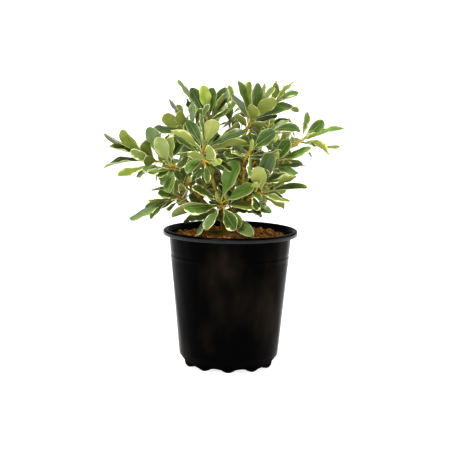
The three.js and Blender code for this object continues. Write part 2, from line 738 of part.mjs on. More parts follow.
// Whether a blade comes too near a limb's axis anywhere
function nearLimb({ points, middle, reach }, limb) {
  for (let i = 0; i <= LIMB_TESTS; i++) {
    const centre = limb.curve.getPoint(i / LIMB_TESTS);
    const room = limb.radiusAt(i / LIMB_TESTS) + LIMB_CLEARANCE;
    if (centre.distanceTo(middle) > reach + room) continue;
    if (points.some((point) => point.distanceTo(centre) < room)) return true;
  }
  return false;
}

// Whether a blade dips into the mix or touches the pot's lip
function nearPot({ points }) {
  const lipTop = POT_HEIGHT + 2;
  const mixTop = MIX_LEVEL + MIX_RELIEF + MIX_CLEARANCE;
  const byLip = ({ x, y, z }) => z < lipTop && Math.hypot(x, y) > MOUTH_RADIUS - LIP_CLEARANCE;
  return points.some((point) => byLip(point) || point.z < mixTop);
}

// All leaves of the plant. Those that reach out come first. A leaf with something in its way
// turns aside or is skipped.
function growLeaves(limbs, masses) {
  const buds = masses.flatMap((mass, massNumber) =>
    mass.shoots.flatMap((shoot, shootNumber) => {
      const seed = SEED + 1000 * massNumber + 100 * shootNumber;
      const numbers = Array.from({ length: shoot.leaves }, (_, number) => number);
      return numbers.map((number) => ({ mass, shoot, number, seed: seed + number }));
    }),
  );
  const reaches = ({ shoot, number }) => number < shoot.reaching.length;
  const placed = [];
  for (const bud of [...buds.filter(reaches), ...buds.filter((other) => !reaches(other))]) {
    const { mass, shoot, number, seed } = bud;
    const others = masses.filter((other) => other !== mass);
    const inTheWay = [...limbs.values(), ...others.flatMap((other) => other.shoots)];
    const leaf = { ...growLeaf(shoot, number, seed), mass, shoot };
    const found = TRIES.some((change) => {
      aim(leaf, change);
      leaf.spread = spread(leaf);
      return !nearPot(leaf.spread)
        && !placed.some((other) => nearLeaf(leaf, other))
        && !inTheWay.some((limb) => nearLimb(leaf.spread, limb));
    });
    if (found) placed.push(leaf);
  }
  return placed;
}

function leafSolid(leaf) {
  const half = (leaf.length * LEAF_THICKNESS) / 2;
  const rings = LEAF_ROWS.map((s) => {
    const middle = bladePoint(leaf, s, 0);
    const top = middle.point.clone().addScaledVector(middle.normal, half);
    const under = middle.point.clone().addScaledVector(middle.normal, -half);
    return [bladePoint(leaf, s, -1).point, top, bladePoint(leaf, s, 1).point, under];
  });
  const base = bladePoint(leaf, 0, 0).point;
  const tip = bladePoint(leaf, 1, 0).point;
  return solidOf(skin([[base], ...rings, [tip]]));
}

function massSolid(mass, leaves) {
  let solid = null;
  for (const shoot of mass.shoots) {
    const twig = limbSolid(shoot.curve, shoot.radiusAt, TWIG_STEPS, TWIG_SIDES);
    solid = solid ? solid.add(twig) : twig;
  }
  for (const leaf of leaves) solid = solid.add(leafSolid(leaf));
  return mainBody(solid);
}

// A bough is cut clear of every limb that stands before it.
function limbSolids(limbs) {
  const solids = new Map();
  const grown = [];
  for (const [name, limb] of limbs) {
    const build = (extra) =>
      name === "trunk"
        ? trunkSolid(limb, extra)
        : limbSolid(limb.curve, (share) => limb.radiusAt(share) + extra, LIMB_STEPS, LIMB_SIDES);
    let solid = build(0);
    for (const other of grown) solid = solid.subtract(other);
    solids.set(name, mainBody(solid));
    grown.push(build(GAP));
  }
  return solids;
}

const plastic = { color: 0x111214, roughness: 0.35, metalness: 0 };
const bark = { color: 0x8a6a2a, roughness: 0.85, metalness: 0 };
const soil = { color: 0x7a4f25, roughness: 0.95, metalness: 0 };
const foliage = { color: 0x5f8048, roughness: 0.5, metalness: 0 };

const plant = new THREE.Group();

function addMesh(name, solid, finish) {
  const mesh = new THREE.Mesh(geometryOf(solid), new THREE.MeshStandardMaterial(finish));
  mesh.name = name;
  plant.add(mesh);
}

const limbs = growLimbs();
const masses = MASSES.map((mass) => ({ ...mass, shoots: growTwigs(mass, limbs) }));
const leaves = growLeaves(limbs, masses);

addMesh("pot", potSolid(), plastic);
addMesh("potting_mix", mixSolid(), soil);
for (const [name, solid] of limbSolids(limbs)) addMesh(name, solid, bark);
for (const mass of masses) {
  const own = leaves.filter((leaf) => leaf.mass === mass);
  addMesh(mass.name, massSolid(mass, own), foliage);
}

export default plant;
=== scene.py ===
"""A variegated Japanese mock orange in its black nursery pot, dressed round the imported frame."""

import math

import bpy
import numpy as np
from mathutils import Matrix, Vector


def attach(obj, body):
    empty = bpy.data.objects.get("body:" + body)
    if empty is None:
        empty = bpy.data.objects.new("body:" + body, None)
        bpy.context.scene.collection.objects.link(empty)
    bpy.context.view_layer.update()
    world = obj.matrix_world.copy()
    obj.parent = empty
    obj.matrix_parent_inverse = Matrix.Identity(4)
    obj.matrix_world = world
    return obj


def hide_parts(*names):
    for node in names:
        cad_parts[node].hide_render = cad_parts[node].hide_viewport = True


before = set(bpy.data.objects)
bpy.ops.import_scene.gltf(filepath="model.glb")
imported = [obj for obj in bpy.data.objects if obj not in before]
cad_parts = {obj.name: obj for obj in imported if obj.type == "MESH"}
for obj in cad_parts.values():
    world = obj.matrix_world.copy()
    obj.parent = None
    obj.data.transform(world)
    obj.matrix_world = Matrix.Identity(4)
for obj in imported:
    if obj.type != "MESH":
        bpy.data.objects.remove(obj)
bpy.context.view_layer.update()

MM = 0.001

# The pot, in millimetres as the frame's solids have it
GAP = 0.3
POT_HEIGHT = 170
LIP_RADIUS = 82.7
LIP_CREST_RADIUS = 79.6
LIP_DROP = 6.4
LIP_WALL = 1.6
MOUTH_RADIUS = 76.2
POT_WALL = 1.5
WALL_FOOT_RADIUS = 61.3
WALL_FOOT_HEIGHT = 21.7
WALL_SLOPE = 0.1
BAND_HEIGHT = 138
BAND_STEP = 0.7
CHAMFER_RADIUS = 52.5
HEEL_HEIGHT = 16
HEEL_INSET = 1.4
FLOOR_UNDERSIDE = 5
FLOOR_TOP = 7
PAD_RADIUS = 18
LOBES = 10
DRAIN_HOLES = 5
DRAIN_RING = 31
DRAIN_RADIUS = 4.5

# The potting mix
MIX_LEVEL = 163
MIX_RELIEF = 1.6
MIX_EDGE_DROP = 2.5
MIX_FLAT = 16
MIX_INSET = 1.2

# The limbs
TRUNK_FOOT = (-6, -4, MIX_LEVEL + GAP)
TRUNK_FORK = (-13, -13, 197)
TRUNK_BOW = (1.5, 1, 0)
TRUNK_FLARE = 7
TRUNK_RADIUS = 4.7
FORK_RADIUS = 3.8
FLARE_HEIGHT = 7

# Each bough: the limb it leaves, at which share of that limb's length, its tip, how it bows
# halfway, and its radius at its start and tip.
BOUGHS = {
    "bough_top_left": ("trunk", 1, (-27, -2, 274), (-3, 3, -2), (3.6, 2)),
    "bough_centre": ("trunk", 0.9, (-32, -46, 254), (2, -2, 2), (2.9, 2)),
    "bough_top_right": ("trunk", 0.93, (13, -12, 276), (4, 2, -3), (3, 2.1)),
    "bough_rear": ("trunk", 0.8, (-6, 42, 252), (0, 8, -8), (3, 2.1)),
    "bough_right_mid": ("trunk", 0.84, (38, -25, 238), (4, -2, -7), (3, 2.1)),
    "bough_left": ("trunk", 0.74, (-56, -20, 236), (-2, -2, -5), (2.9, 2.1)),
    "bough_low_right": ("trunk", 0.64, (20, -30, 210), (1, -2, -3), (2.6, 2)),
    "bough_low_left": ("trunk", 0.54, (-54, -5, 204), (0, 0, -3), (2.6, 1.9)),
    "bough_front_low": ("trunk", 0.74, (-9, -21, 193), (0, -1, -1), (2.6, 2.2)),
    "bough_right": ("bough_top_right", 0.5, (32, -24, 270), (3, -2, -3), (2.2, 1.7)),
    "bough_far_right": ("bough_right_mid", 0.55, (68, -4, 268), (2, 2, -6), (2.3, 1.8)),
    "bough_front_right": ("bough_right_mid", 0.35, (14, -44, 248), (2, -4, -3), (2.2, 1.7)),
    "bough_middle": ("bough_rear", 0.45, (-4, 14, 268), (0, 3, -3), (2.2, 1.8)),
    "bough_rear_left": ("bough_rear", 0.2, (-42, 42, 232), (-4, 4, -5), (2.3, 1.8)),
    "bough_rear_right": ("bough_rear", 0.32, (36, 42, 234), (4, 4, -6), (2.3, 1.8)),
}

# The shoots of each mass: the tip, how many leaves, the length of the longest, the turn of the
# whorl, and how far the innermost and outermost leaves lean, in degrees. Then come the tips of
# leaves that reach out, some with the roll of the blade and how far it curls over.
MASSES = {
    "leaves_front_low": ("bough_front_low", [
        ((-13, -35, 207), 17, 46, 0, (22, 118), (7, -51, 260, 20), (27, -46, 236, 15),
         (-47, -59, 228, -10), (-72, -39, 190, 75), (-28, -61, 177, 15), (26, -58, 170, -30),
         (6, -64, 179, 30), (31, -55, 204, -15), (-25, -25, 238, -45), (-53, -52, 196, -10)),
    ]),
    "leaves_low_right": ("bough_low_right", [
        ((38, -38, 220), 8, 44, 100, (12, 54), (31, -72, 248, 90), (78, -48, 242, -115),
         (91, -47, 228, -20), (70, -69, 214, 25), (64, -64, 208, -35), (46, -43, 272, -45)),
    ]),
    "leaves_low_left": ("bough_low_left", [
        ((-70, -8, 210), 12, 42, 60, (15, 66), (-123, -28, 184, -5), (-96, -41, 186, -10),
         (-98, 18, 215, 50, 1.2), (-89, -27, 215, -95)),
        ((-53, -34, 229), 8, 28, 10, (20, 84), (-69, -48, 246, -15)),
    ]),
    "leaves_left": ("bough_left", [
        ((-75, -34, 249), 13, 40, 90, (12, 84), (-89, -52, 287, 55), (-103, -19, 295, -15),
         (-71, -51, 288, -5), (-89, -58, 240, -20)),
        ((-102, -14, 253), 12, 38, 30, (12, 76), (-156, -14, 287, 50), (-151, -15, 270, -115),
         (-135, -12, 291, 65), (-156, -4, 243, -15), (-138, -35, 238, -75), (-122, -38, 269, 130)),
    ]),
    "leaves_centre": ("bough_centre", [
        ((-34, -56, 275), 16, 42, 200, (15, 90), (-21, -79, 311, -40), (-39, -70, 317, -20),
         (-54, -31, 306, -5), (7, -43, 305, -55), (16, -54, 299, 15), (18, -56, 283, -50),
         (-72, -72, 297, 45)),
        ((-27, -60, 258), 5, 26, 0, (30, 80), (-52, -83, 273, 115), (-23, -91, 278, 60)),
    ]),
    "leaves_top_left": ("bough_top_left", [
        ((-29, -8, 305), 16, 42, 100, (10, 86), (-37, -12, 347, -5), (-51, 3, 343, -5),
         (-25, -5, 344, 5), (-8, -17, 339, -30), (4, -24, 327, 25), (-5, -5, 343, 5)),
        ((-45, 12, 313), 9, 36, 150, (12, 84), (-68, 14, 351, -105), (-56, -10, 329, -125)),
        ((-55, -18, 294), 14, 40, 40, (12, 90), (-84, -41, 311, -20), (-65, 13, 321, -70, 1.2),
         (-83, 0, 323, -35), (-67, -46, 315, -35), (-94, -34, 296, -5), (-47, -32, 327, 20)),
    ]),
    "leaves_middle": ("bough_middle", [
        ((-4, 16, 314), 12, 36, 140, (12, 90)),
        ((12, 8, 280), 10, 38, 20, (15, 95)),
        ((-34, 22, 272), 10, 38, 80, (15, 95)),
    ]),
    "leaves_top_right": ("bough_top_right", [
        ((23, -22, 306), 18, 44, 10, (10, 92), (5, -32, 354, -10), (30, -22, 352, 20),
         (72, 0, 324, -5), (50, -41, 335, -45), (26, -53, 326, -10), (0, 7, 335, 15),
         (32, -42, 287, -20), (26, -19, 356, 10), (50, -20, 347, -40)),
        ((52, 4, 326), 12, 34, 90, (10, 66), (73, -10, 353, 70), (80, 20, 339, 25),
         (81, -11, 331, 55)),
    ]),
    "leaves_right": ("bough_right", [
        ((43, -34, 291), 12, 38, 80, (18, 92), (65, -2, 308, -20), (81, -53, 297, 10, 1.2)),
    ]),
    "leaves_front_right": ("bough_front_right", [
        ((21, -58, 272), 10, 40, 30, (18, 90), (51, -78, 298, 35), (20, -88, 245, -55),
         (1, -91, 273, 10)),
    ]),
    "leaves_right_mid": ("bough_right_mid", [
        ((51, -34, 256), 10, 40, 50, (12, 66), (95, -46, 277, -5), (69, -64, 280, 130),
         (56, -57, 282, -65), (77, -64, 246, 5)),
    ]),
    "leaves_far_right": ("bough_far_right", [
        ((86, -4, 282), 10, 34, 0, (12, 74), (92, 12, 315, -15), (112, 14, 304, -5),
         (138, 5, 296, -15), (131, -14, 277, -10), (117, -25, 266, -10, 1)),
    ]),
    "leaves_rear_left": ("bough_rear_left", [
        ((-62, 50, 262), 14, 42, 0, (14, 86)),
        ((-60, 62, 226), 10, 42, 70, (18, 80)),
    ]),
    "leaves_rear": ("bough_rear", [
        ((-30, 58, 292), 13, 42, 120, (12, 92)),
        ((20, 60, 290), 14, 42, 30, (12, 92)),
        ((10, 84, 258), 11, 42, 200, (14, 84)),
    ]),
    "leaves_rear_right": ("bough_rear_right", [
        ((54, 52, 262), 12, 40, 10, (14, 80)),
        ((40, 70, 228), 11, 42, 80, (18, 84)),
    ]),
}

# Twigs and leaves
SEED = 4100
MASS_SEEDS = 1000
SHOOT_SEEDS = 100
GOLDEN_TURN = 137.5
LEAFY_LENGTH = 13
INNERMOST_LEAF = 0.5  # how far it is from the shoot's tip
STEM_RADIUS = 2
TWIG_RADIUS = 1.7
TWIG_TIP_RADIUS = 1.1
TWIG_FORK = 0.12
TWIG_LEAD = 0.45
UPWARD = 0.4
BLADE_WIDTH = 0.185
BLADE_BREADTH = (0.88, 1.2)
FOOT_WIDTH = 0.085
FOOT_SHARE = 0.1
WIDEST_AT = 0.66
SWELL_POWER = 0.9
TIP_POWER = 2.2
WHORL_SIZES = (0.7, 0.34)  # the least size of a leaf in its whorl, and what the longest has over it
WHORL_ARC = (0.22, 0.6)  # where a whorl's sizes start on their arc, and how far along it they go
SIZE_SPREAD = (0.9, 0.2)
LEAN_POWER = 0.8
LEAF_BEND = (0.15, 0.75)
STRAIGHTEST = 0.4  # how much of its bend the innermost leaf has
BENT_BACK = 0.18
BENT_BACK_SIZE = -0.6
LEAF_CUP = (-0.12, 0.28)
LEAF_TWIST = 0.7
REACHING_TWIST = 0.35
TURN_JITTER = 26
LEAN_JITTER = 16
ROLL_JITTER = 40
CLEARANCE = 2.6
SHOOT_CLEARANCE = 1.6
LIMB_CLEARANCE = 1.6
LIP_CLEARANCE = 4
LIP_HEADROOM = 2
MIX_CLEARANCE = 1.5
LIMB_TESTS = 24
SPREAD_ROWS = 12
SPREAD_FOOT = 0.2
SPREAD_ACROSS = (-1, -0.5, 0, 0.5, 1)
SPREAD_WIDTH = 0.92
SPREAD_MIDDLE = 0.6

# The leafy side twigs of the boughs: the mass that they belong to, at which shares of the bough's
# length they leave it, and the turn of the first round it
SPRIGS = {
    "bough_top_right": ("leaves_top_right", (0.4, 0.62, 0.82), 200),
    "bough_rear": ("leaves_rear", (0.3, 0.45, 0.6, 0.75, 0.9), 0),
    "bough_right_mid": ("leaves_right_mid", (0.4, 0.62, 0.8, 0.97), 60),
    "bough_left": ("leaves_left", (0.55, 0.75, 0.92), 120),
    "bough_low_right": ("leaves_low_right", (0.35, 0.6, 0.85), 30),
    "bough_right": ("leaves_right", (0.4, 0.7), 0),
    "bough_far_right": ("leaves_far_right", (0.35, 0.6, 0.85), 90),
    "bough_front_right": ("leaves_front_right", (0.45, 0.7, 0.92), 240),
    "bough_middle": ("leaves_middle", (0.3, 0.55, 0.8), 20),
    "bough_rear_left": ("leaves_rear_left", (0.4, 0.65, 0.88), 10),
    "bough_rear_right": ("leaves_rear_right", (0.4, 0.65, 0.88), 150),
    "bough_front_low": ("leaves_front_low", (0.3, 0.8), 80),
    "bough_low_left": ("leaves_low_left", (0.35, 0.62), 200),
}
SPRIG_REACH = 14
SPRIG_UNEVEN = 0.25
SPRIG_WAVE = 3  # how their lengths go up and down along a bough
SPRIG_STEP = 0.1  # how far on along the bough its direction is taken
SPRIG_AHEAD = 0.5  # how much a sprig leans along its bough
SPRIG_RADIUS = 1.0
SPRIG_TAPER = 0.3
SPRIG_TURN = 50
SPRIG_LEAVES = 7
SPRIG_LEAF_LENGTH = 30
SPRIG_LEAN = (25, 85)

# How a leaf turns aside when something is in its way: its turn and lean in degrees, and its size
TRIES = ((0, 0, 1), (14, 0, 1), (-14, 0, 1), (0, -14, 0.95), (0, 12, 0.95), (28, -8, 0.9), (-28, -8, 0.9))


WORD = 2 ** 32
SEED_STEP = 0x6D2B79F5


def seeded(seed):
    """Random numbers between 0 and 1, the same in each run"""
    state = seed % WORD

    def draw():
        nonlocal state
        state = (state + SEED_STEP) % WORD
        mixed = (state ^ (state >> 15)) * (1 | state) % WORD
        mixed ^= (mixed + (mixed ^ (mixed >> 7)) * (61 | mixed)) % WORD
        return (mixed ^ (mixed >> 14)) / WORD

    return draw


def between(least, most, draw):
    """A random number between two others"""
    return least + (most - least) * draw()


def upwards(pair, share):
    """A first value, and a share of what comes on top of it"""
    first, more = pair
    return first + more * share


def unit(vector):
    return vector / np.linalg.norm(vector)


def taper(thick, thin):
    """How thick a limb is at each share of its length"""
    return lambda share: thick + (thin - thick) * share


class Limb:
    """A tapering limb along a curve of three points"""

    def __init__(self, start, bend, tip, radius_at):
        self.start, self.bend, self.tip = (np.array(point, float) for point in (start, bend, tip))
        self.radius_at = radius_at

    def point(self, share):
        """The point of its middle at a share of its length"""
        t = np.asarray(share, float)[..., None]
        return (1 - t) ** 2 * self.start + 2 * t * (1 - t) * self.bend + t * t * self.tip

    def end_direction(self):
        return unit(self.tip - self.bend)


def grow_limbs():
    """The trunk with its flared foot, and each bough from the limb that carries it"""
    foot, fork = np.array(TRUNK_FOOT), np.array(TRUNK_FORK)
    flare_share = FLARE_HEIGHT / (fork[2] - foot[2])
    stem = taper(TRUNK_RADIUS, FORK_RADIUS)

    def trunk_radius(share):
        flare = np.maximum(0, 1 - np.asarray(share) / flare_share)
        return stem(share) + (TRUNK_FLARE - TRUNK_RADIUS) * flare ** 2

    limbs = {"trunk": Limb(foot, (foot + fork) / 2 + TRUNK_BOW, fork, trunk_radius)}
    for name, (parent, at, tip, bow, radii) in BOUGHS.items():
        start = limbs[parent].point(at)
        bend = (start + np.array(tip)) / 2 + 2 * np.array(bow)
        limbs[name] = Limb(start, bend, tip, taper(*radii))
    return limbs


def shoot_of(twig, reach, leaves, length, turn, lean, reaching=()):
    """A leafy twig: its leaves stand round its axis, which turns up a little towards the light."""
    return {
        "twig": twig, "reach": reach, "axis": unit(twig.end_direction() + (0, 0, UPWARD)),
        "leaves": leaves, "length": length, "turn": turn, "lean": lean, "reaching": reaching,
    }


def grow_shoots(bough, rows, limbs):
    """A mass's stem to its first shoot, and a twig from it to each of the others"""
    limb = limbs[bough]
    along = limb.end_direction()
    stem = None
    shoots = []
    for tip, leaves, length, turn, lean, *reaching in rows:
        start = limb.point(1) + GAP * along if stem is None else stem.point(TWIG_FORK)
        reach = np.linalg.norm(tip - start)
        thick = min(limb.radius_at(1), STEM_RADIUS) if stem is None else TWIG_RADIUS
        lead = start + TWIG_LEAD * reach * along
        twig = Limb(start, lead, tip, taper(thick, TWIG_TIP_RADIUS))
        stem = stem or twig
        rank = sum(len(shoot["reaching"]) for shoot in shoots)
        shoots.append({**shoot_of(twig, reach, leaves, length, turn, lean, reaching), "rank": rank})
    return shoots


def grow_sprigs(limb, shares, start_turn):
    """Short side twigs with a few small leaves, from a bough's flanks up to its shaded inside"""
    sprigs = []
    for number, share in enumerate(shares):
        origin = limb.point(share)
        along = unit(limb.point(min(1, share + SPRIG_STEP)) - origin)
        level, other = cross_axes(along)
        turn = math.radians(start_turn + number * GOLDEN_TURN)
        out = level * math.cos(turn) + other * math.sin(turn)
        reach = SPRIG_REACH * (1 + SPRIG_UNEVEN * math.cos(SPRIG_WAVE * number))
        tip = origin + reach * unit(out + SPRIG_AHEAD * along + (0, 0, UPWARD))
        bend = origin + reach / 2 * unit(out + along)
        twig = Limb(origin, bend, tip, taper(SPRIG_RADIUS, SPRIG_RADIUS * (1 - SPRIG_TAPER)))
        sprigs.append(shoot_of(twig, reach, SPRIG_LEAVES, SPRIG_LEAF_LENGTH, SPRIG_TURN * number, SPRIG_LEAN))
    return sprigs


def blade_shape(s):
    """Half the width of a blade along its length: a narrow foot, widest past the middle, round tip"""
    s = np.asarray(s, float)
    t = np.clip((s - FOOT_SHARE) / (1 - FOOT_SHARE), 0, 1)
    swell = 0.5 - 0.5 * np.cos(np.pi * np.minimum(1, t / WIDEST_AT) ** SWELL_POWER)
    past = np.maximum(0, (t - WIDEST_AT) / (1 - WIDEST_AT))
    rounding = np.sqrt(np.maximum(0, 1 - past ** TIP_POWER))
    return np.where(s < FOOT_SHARE, FOOT_WIDTH, np.maximum(FOOT_WIDTH * (1 - s), swell * rounding))


def cross_axes(axis):
    """Two directions square to a shoot's axis, the first of them level"""
    level = np.array((axis[1], -axis[0], 0.0))
    if np.linalg.norm(level) < 0.02:
        level = np.array((1.0, 0.0, 0.0))
    level = unit(level)
    return level, np.cross(level, axis)


def whorl_size(share):
    """The young leaves inside a whorl are short, those of its middle the longest."""
    return upwards(WHORL_SIZES, math.sin(math.pi * min(1, upwards(WHORL_ARC, share))))


def shoot_seed(mass_number, shoot_number):
    """The first seed of a shoot, which its leaves count on from"""
    return SEED + MASS_SEEDS * mass_number + SHOOT_SEEDS * shoot_number


def grow_leaf(shoot, number, seed):
    """One leaf of a whorl. Every leaf draws from a seed of its own."""
    draw = seeded(seed)
    share = number / max(1, shoot["leaves"] - 1)
    inner, outer = shoot["lean"]
    leaf = {
        "axis": shoot["axis"],
        "base": shoot["twig"].point(1 - (INNERMOST_LEAF + LEAFY_LENGTH * share) / shoot["reach"]),
        "turn": shoot["turn"] + number * GOLDEN_TURN + (draw() - 0.5) * TURN_JITTER,
        "lean": inner + (outer - inner) * share ** LEAN_POWER + (draw() - 0.5) * LEAN_JITTER,
        "full_length": shoot["length"] * whorl_size(share) * upwards(SIZE_SPREAD, draw()),
    }
    curl = LEAF_BEND[0] + LEAF_BEND[1] * draw() * (STRAIGHTEST + (1 - STRAIGHTEST) * share)
    leaf["bend"] = curl * (BENT_BACK_SIZE if draw() < BENT_BACK else 1)
    leaf["cup"] = between(*LEAF_CUP, draw)
    leaf["twist"] = (draw() - 0.5) * LEAF_TWIST
    leaf["broad"] = BLADE_WIDTH * between(*BLADE_BREADTH, draw)
    leaf["roll"] = (draw() - 0.5) * ROLL_JITTER
    if number < len(shoot["reaching"]):
        reach_for(leaf, *shoot["reaching"][number])
    return leaf


def reach_for(leaf, x, y, z, roll=0, bend=None):
    """Sets a leaf's turn, lean and length so that its bent blade ends at a place"""
    leaf["bend"] = bend or leaf["bend"]
    leaf["twist"] *= REACHING_TWIST
    chord = np.array((x, y, z)) - leaf["base"]
    level, other = cross_axes(leaf["axis"])
    half = leaf["bend"] / 2
    length = np.linalg.norm(chord)
    leaf["turn"] = math.degrees(math.atan2(chord @ other, chord @ level))
    leaf["lean"] = math.degrees(math.acos(np.clip(chord @ leaf["axis"] / length, -1, 1)) - half)
    leaf["full_length"] = length * half / math.sin(half)
    leaf["roll"] = roll


def turned(vector, axis, angle):
    """A vector turned about an axis"""
    along = axis * (vector @ axis)
    return along + (vector - along) * math.cos(angle) + np.cross(axis, vector) * math.sin(angle)


def aim(leaf, aside, tilt, size):
    """Points a leaf the way its turn and lean say, changed a little"""
    level, other = cross_axes(leaf["axis"])
    turn, lean = math.radians(leaf["turn"] + aside), math.radians(leaf["lean"] + tilt)
    half, roll = leaf["bend"] / 2, math.radians(leaf["roll"])
    out = level * math.cos(turn) + other * math.sin(turn)
    along = leaf["axis"] * math.cos(lean) + out * math.sin(lean)
    face = leaf["axis"] * math.sin(lean) - out * math.cos(lean)
    chord = along * math.cos(half) - face * math.sin(half)
    leaf["along"] = turned(along, chord, roll)
    leaf["face"] = turned(face, chord, roll)
    leaf["length"] = leaf["full_length"] * size
    leaf["half_width"] = leaf["length"] * leaf["broad"]


def blade(leaf, s, u):
    """Points of a blade at shares of its length and half width, and the ways they face"""
    s, u = np.broadcast_arrays(np.asarray(s, float), np.asarray(u, float))
    s, u = s[..., None], u[..., None]
    angle = leaf["bend"] * s
    forward = np.sin(angle) / leaf["bend"] * leaf["length"]
    down = (1 - np.cos(angle)) / leaf["bend"] * leaf["length"]
    ahead = leaf["along"] * np.cos(angle) - leaf["face"] * np.sin(angle)
    faced = leaf["face"] * np.cos(angle) + leaf["along"] * np.sin(angle)
    flat = np.cross(ahead, faced)
    roll = leaf["twist"] * s
    side = flat * np.cos(roll) + faced * np.sin(roll)
    normal = faced * np.cos(roll) - flat * np.sin(roll)
    half = leaf["half_width"] * blade_shape(s)
    middle = leaf["base"] + leaf["along"] * forward - leaf["face"] * down
    return middle + side * u * half + normal * leaf["cup"] * half * u * u, normal


def spread(leaf):
    """Points spread over a blade, for telling what it comes near"""
    s = SPREAD_FOOT + (1 - SPREAD_FOOT) * np.arange(SPREAD_ROWS) / (SPREAD_ROWS - 1)
    points = blade(leaf, s[:, None], SPREAD_WIDTH * np.array(SPREAD_ACROSS)[None, :])[0]
    leaf["outer"] = points[SPREAD_ROWS // 3:].reshape(-1, 3)
    leaf["points"] = points.reshape(-1, 3)
    leaf["middle"] = blade(leaf, SPREAD_MIDDLE, 0)[0]
    leaf["span"] = np.linalg.norm(leaf["points"] - leaf["middle"], axis=1).max()


def any_nearer(some, others, distance):
    """Whether any of some points lies nearer than a distance to any of some others"""
    gaps = ((some[:, None] - others[None]) ** 2).sum(-1)
    return bool((gaps < distance ** 2).any())


def near_leaf(leaf, other):
    """Leaves of one shoot meet at their feet, so there only their outer parts count."""
    if np.linalg.norm(leaf["middle"] - other["middle"]) > leaf["span"] + other["span"] + CLEARANCE:
        return False
    if leaf["shoot"] is other["shoot"]:
        return any_nearer(leaf["outer"], other["outer"], SHOOT_CLEARANCE)
    return any_nearer(leaf["points"], other["points"], CLEARANCE)


def near_limb(leaf, limb):
    """Whether a blade comes too near to a limb"""
    shares = np.arange(LIMB_TESTS + 1) / LIMB_TESTS
    centres = limb.point(shares)
    room = limb.radius_at(shares) + LIMB_CLEARANCE
    near = np.linalg.norm(centres - leaf["middle"], axis=1) <= leaf["span"] + room
    if not near.any():
        return False
    gaps = np.linalg.norm(leaf["points"][:, None] - centres[near][None], axis=2)
    return bool((gaps < room[near][None]).any())


def near_pot(leaf):
    """Whether a blade dips into the mix or touches the pot's lip"""
    x, y, z = leaf["points"].T
    by_lip = (np.hypot(x, y) > MOUTH_RADIUS - LIP_CLEARANCE) & (z < POT_HEIGHT + LIP_HEADROOM)
    return bool((by_lip | (z < MIX_LEVEL + MIX_RELIEF + MIX_CLEARANCE)).any())


def grow_leaves(limbs, masses, already=()):
    """The leaves of some shoots. Those that reach out come first, and one with something in its
    way turns aside or is skipped."""
    buds = []
    for mass_number, (name, shoots) in enumerate(masses.items()):
        for shoot_number, shoot in enumerate(shoots):
            seed = shoot_seed(mass_number, shoot_number)
            buds += [(name, shoot, number, seed + number) for number in range(shoot["leaves"])]
    buds.sort(key=lambda bud: bud[2] >= len(bud[1]["reaching"]))
    placed = list(already)
    for name, shoot, number, seed in buds:
        others = [twigs for other, twigs in masses.items() if other != name]
        in_the_way = list(limbs.values()) + [other["twig"] for twigs in others for other in twigs]
        leaf = {**grow_leaf(shoot, number, seed), "shoot": shoot, "mass": name}
        leaf["share"] = number / shoot["leaves"]
        if number < len(shoot["reaching"]):
            leaf["rank"] = number + shoot["rank"]
        for change in TRIES:
            aim(leaf, *change)
            spread(leaf)
            if near_pot(leaf) or any(near_leaf(leaf, other) for other in placed):
                continue
            if any(near_limb(leaf, limb) for limb in in_the_way):
                continue
            placed.append(leaf)
            break
    return placed[len(already):]


# Node trees

class Nodes:
    """A node tree, built one node at a time, each wired as it is made"""

    def __init__(self, tree):
        self.tree = tree
        tree.nodes.clear()

    def add(self, kind, wires=None, **settings):
        """A node with its settings, its inputs wired to other nodes or set to values"""
        node = self.tree.nodes.new(kind)
        for key, value in settings.items():
            setattr(node, key, value)
        for key, value in (wires or {}).items():
            if isinstance(value, bpy.types.NodeSocket):
                self.tree.links.new(value, node.inputs[key])
            else:
                node.inputs[key].default_value = value
        return node.outputs

    def math(self, operation, one, other):
        """The output of a step of arithmetic"""
        return self.add("ShaderNodeMath", {0: one, 1: other}, operation=operation)[0]

    def vector(self, operation, wires):
        """The output of a step of arithmetic with vectors"""
        return self.add("ShaderNodeVectorMath", wires, operation=operation)[0]


# Materials

NOISE_RANGE = (0.3, 0.7)  # where nearly all of a noise lies


def linear(red, green, blue):
    """A colour as the eye sees it, 0 to 255, as the light it throws back"""
    shares = [channel / 255 for channel in (red, green, blue)]
    return tuple(c / 12.92 if c <= 0.04045 else ((c + 0.055) / 1.055) ** 2.4 for c in shares)


def noise(nodes, place, scale, detail, stretch=(1, 1, 1), shift=(0, 0, 0)):
    """A noise over a piece, its scale to the metre"""
    placed = nodes.add("ShaderNodeMapping", {"Vector": place, "Location": shift, "Scale": stretch})[0]
    return nodes.add("ShaderNodeTexNoise", {"Vector": placed, "Scale": scale, "Detail": detail})["Fac"]


def ramp(nodes, value, stops):
    """Colours along a value, each stop with its place and a colour from 0 to 255"""
    node = nodes.tree.nodes.new("ShaderNodeValToRGB")
    nodes.tree.links.new(value, node.inputs[0])
    elements = node.color_ramp.elements
    while len(elements) < len(stops):
        elements.new(0.5)
    for element, (position, colour) in zip(elements, stops):
        element.position = position
        element.color = (*linear(*colour), 1)
    return node.outputs[0]


def rescale(nodes, value, low, high):
    """A noise spread between two values"""
    least, most = NOISE_RANGE
    wires = {"Value": value, "From Min": least, "From Max": most, "To Min": low, "To Max": high}
    return nodes.add("ShaderNodeMapRange", wires)[0]


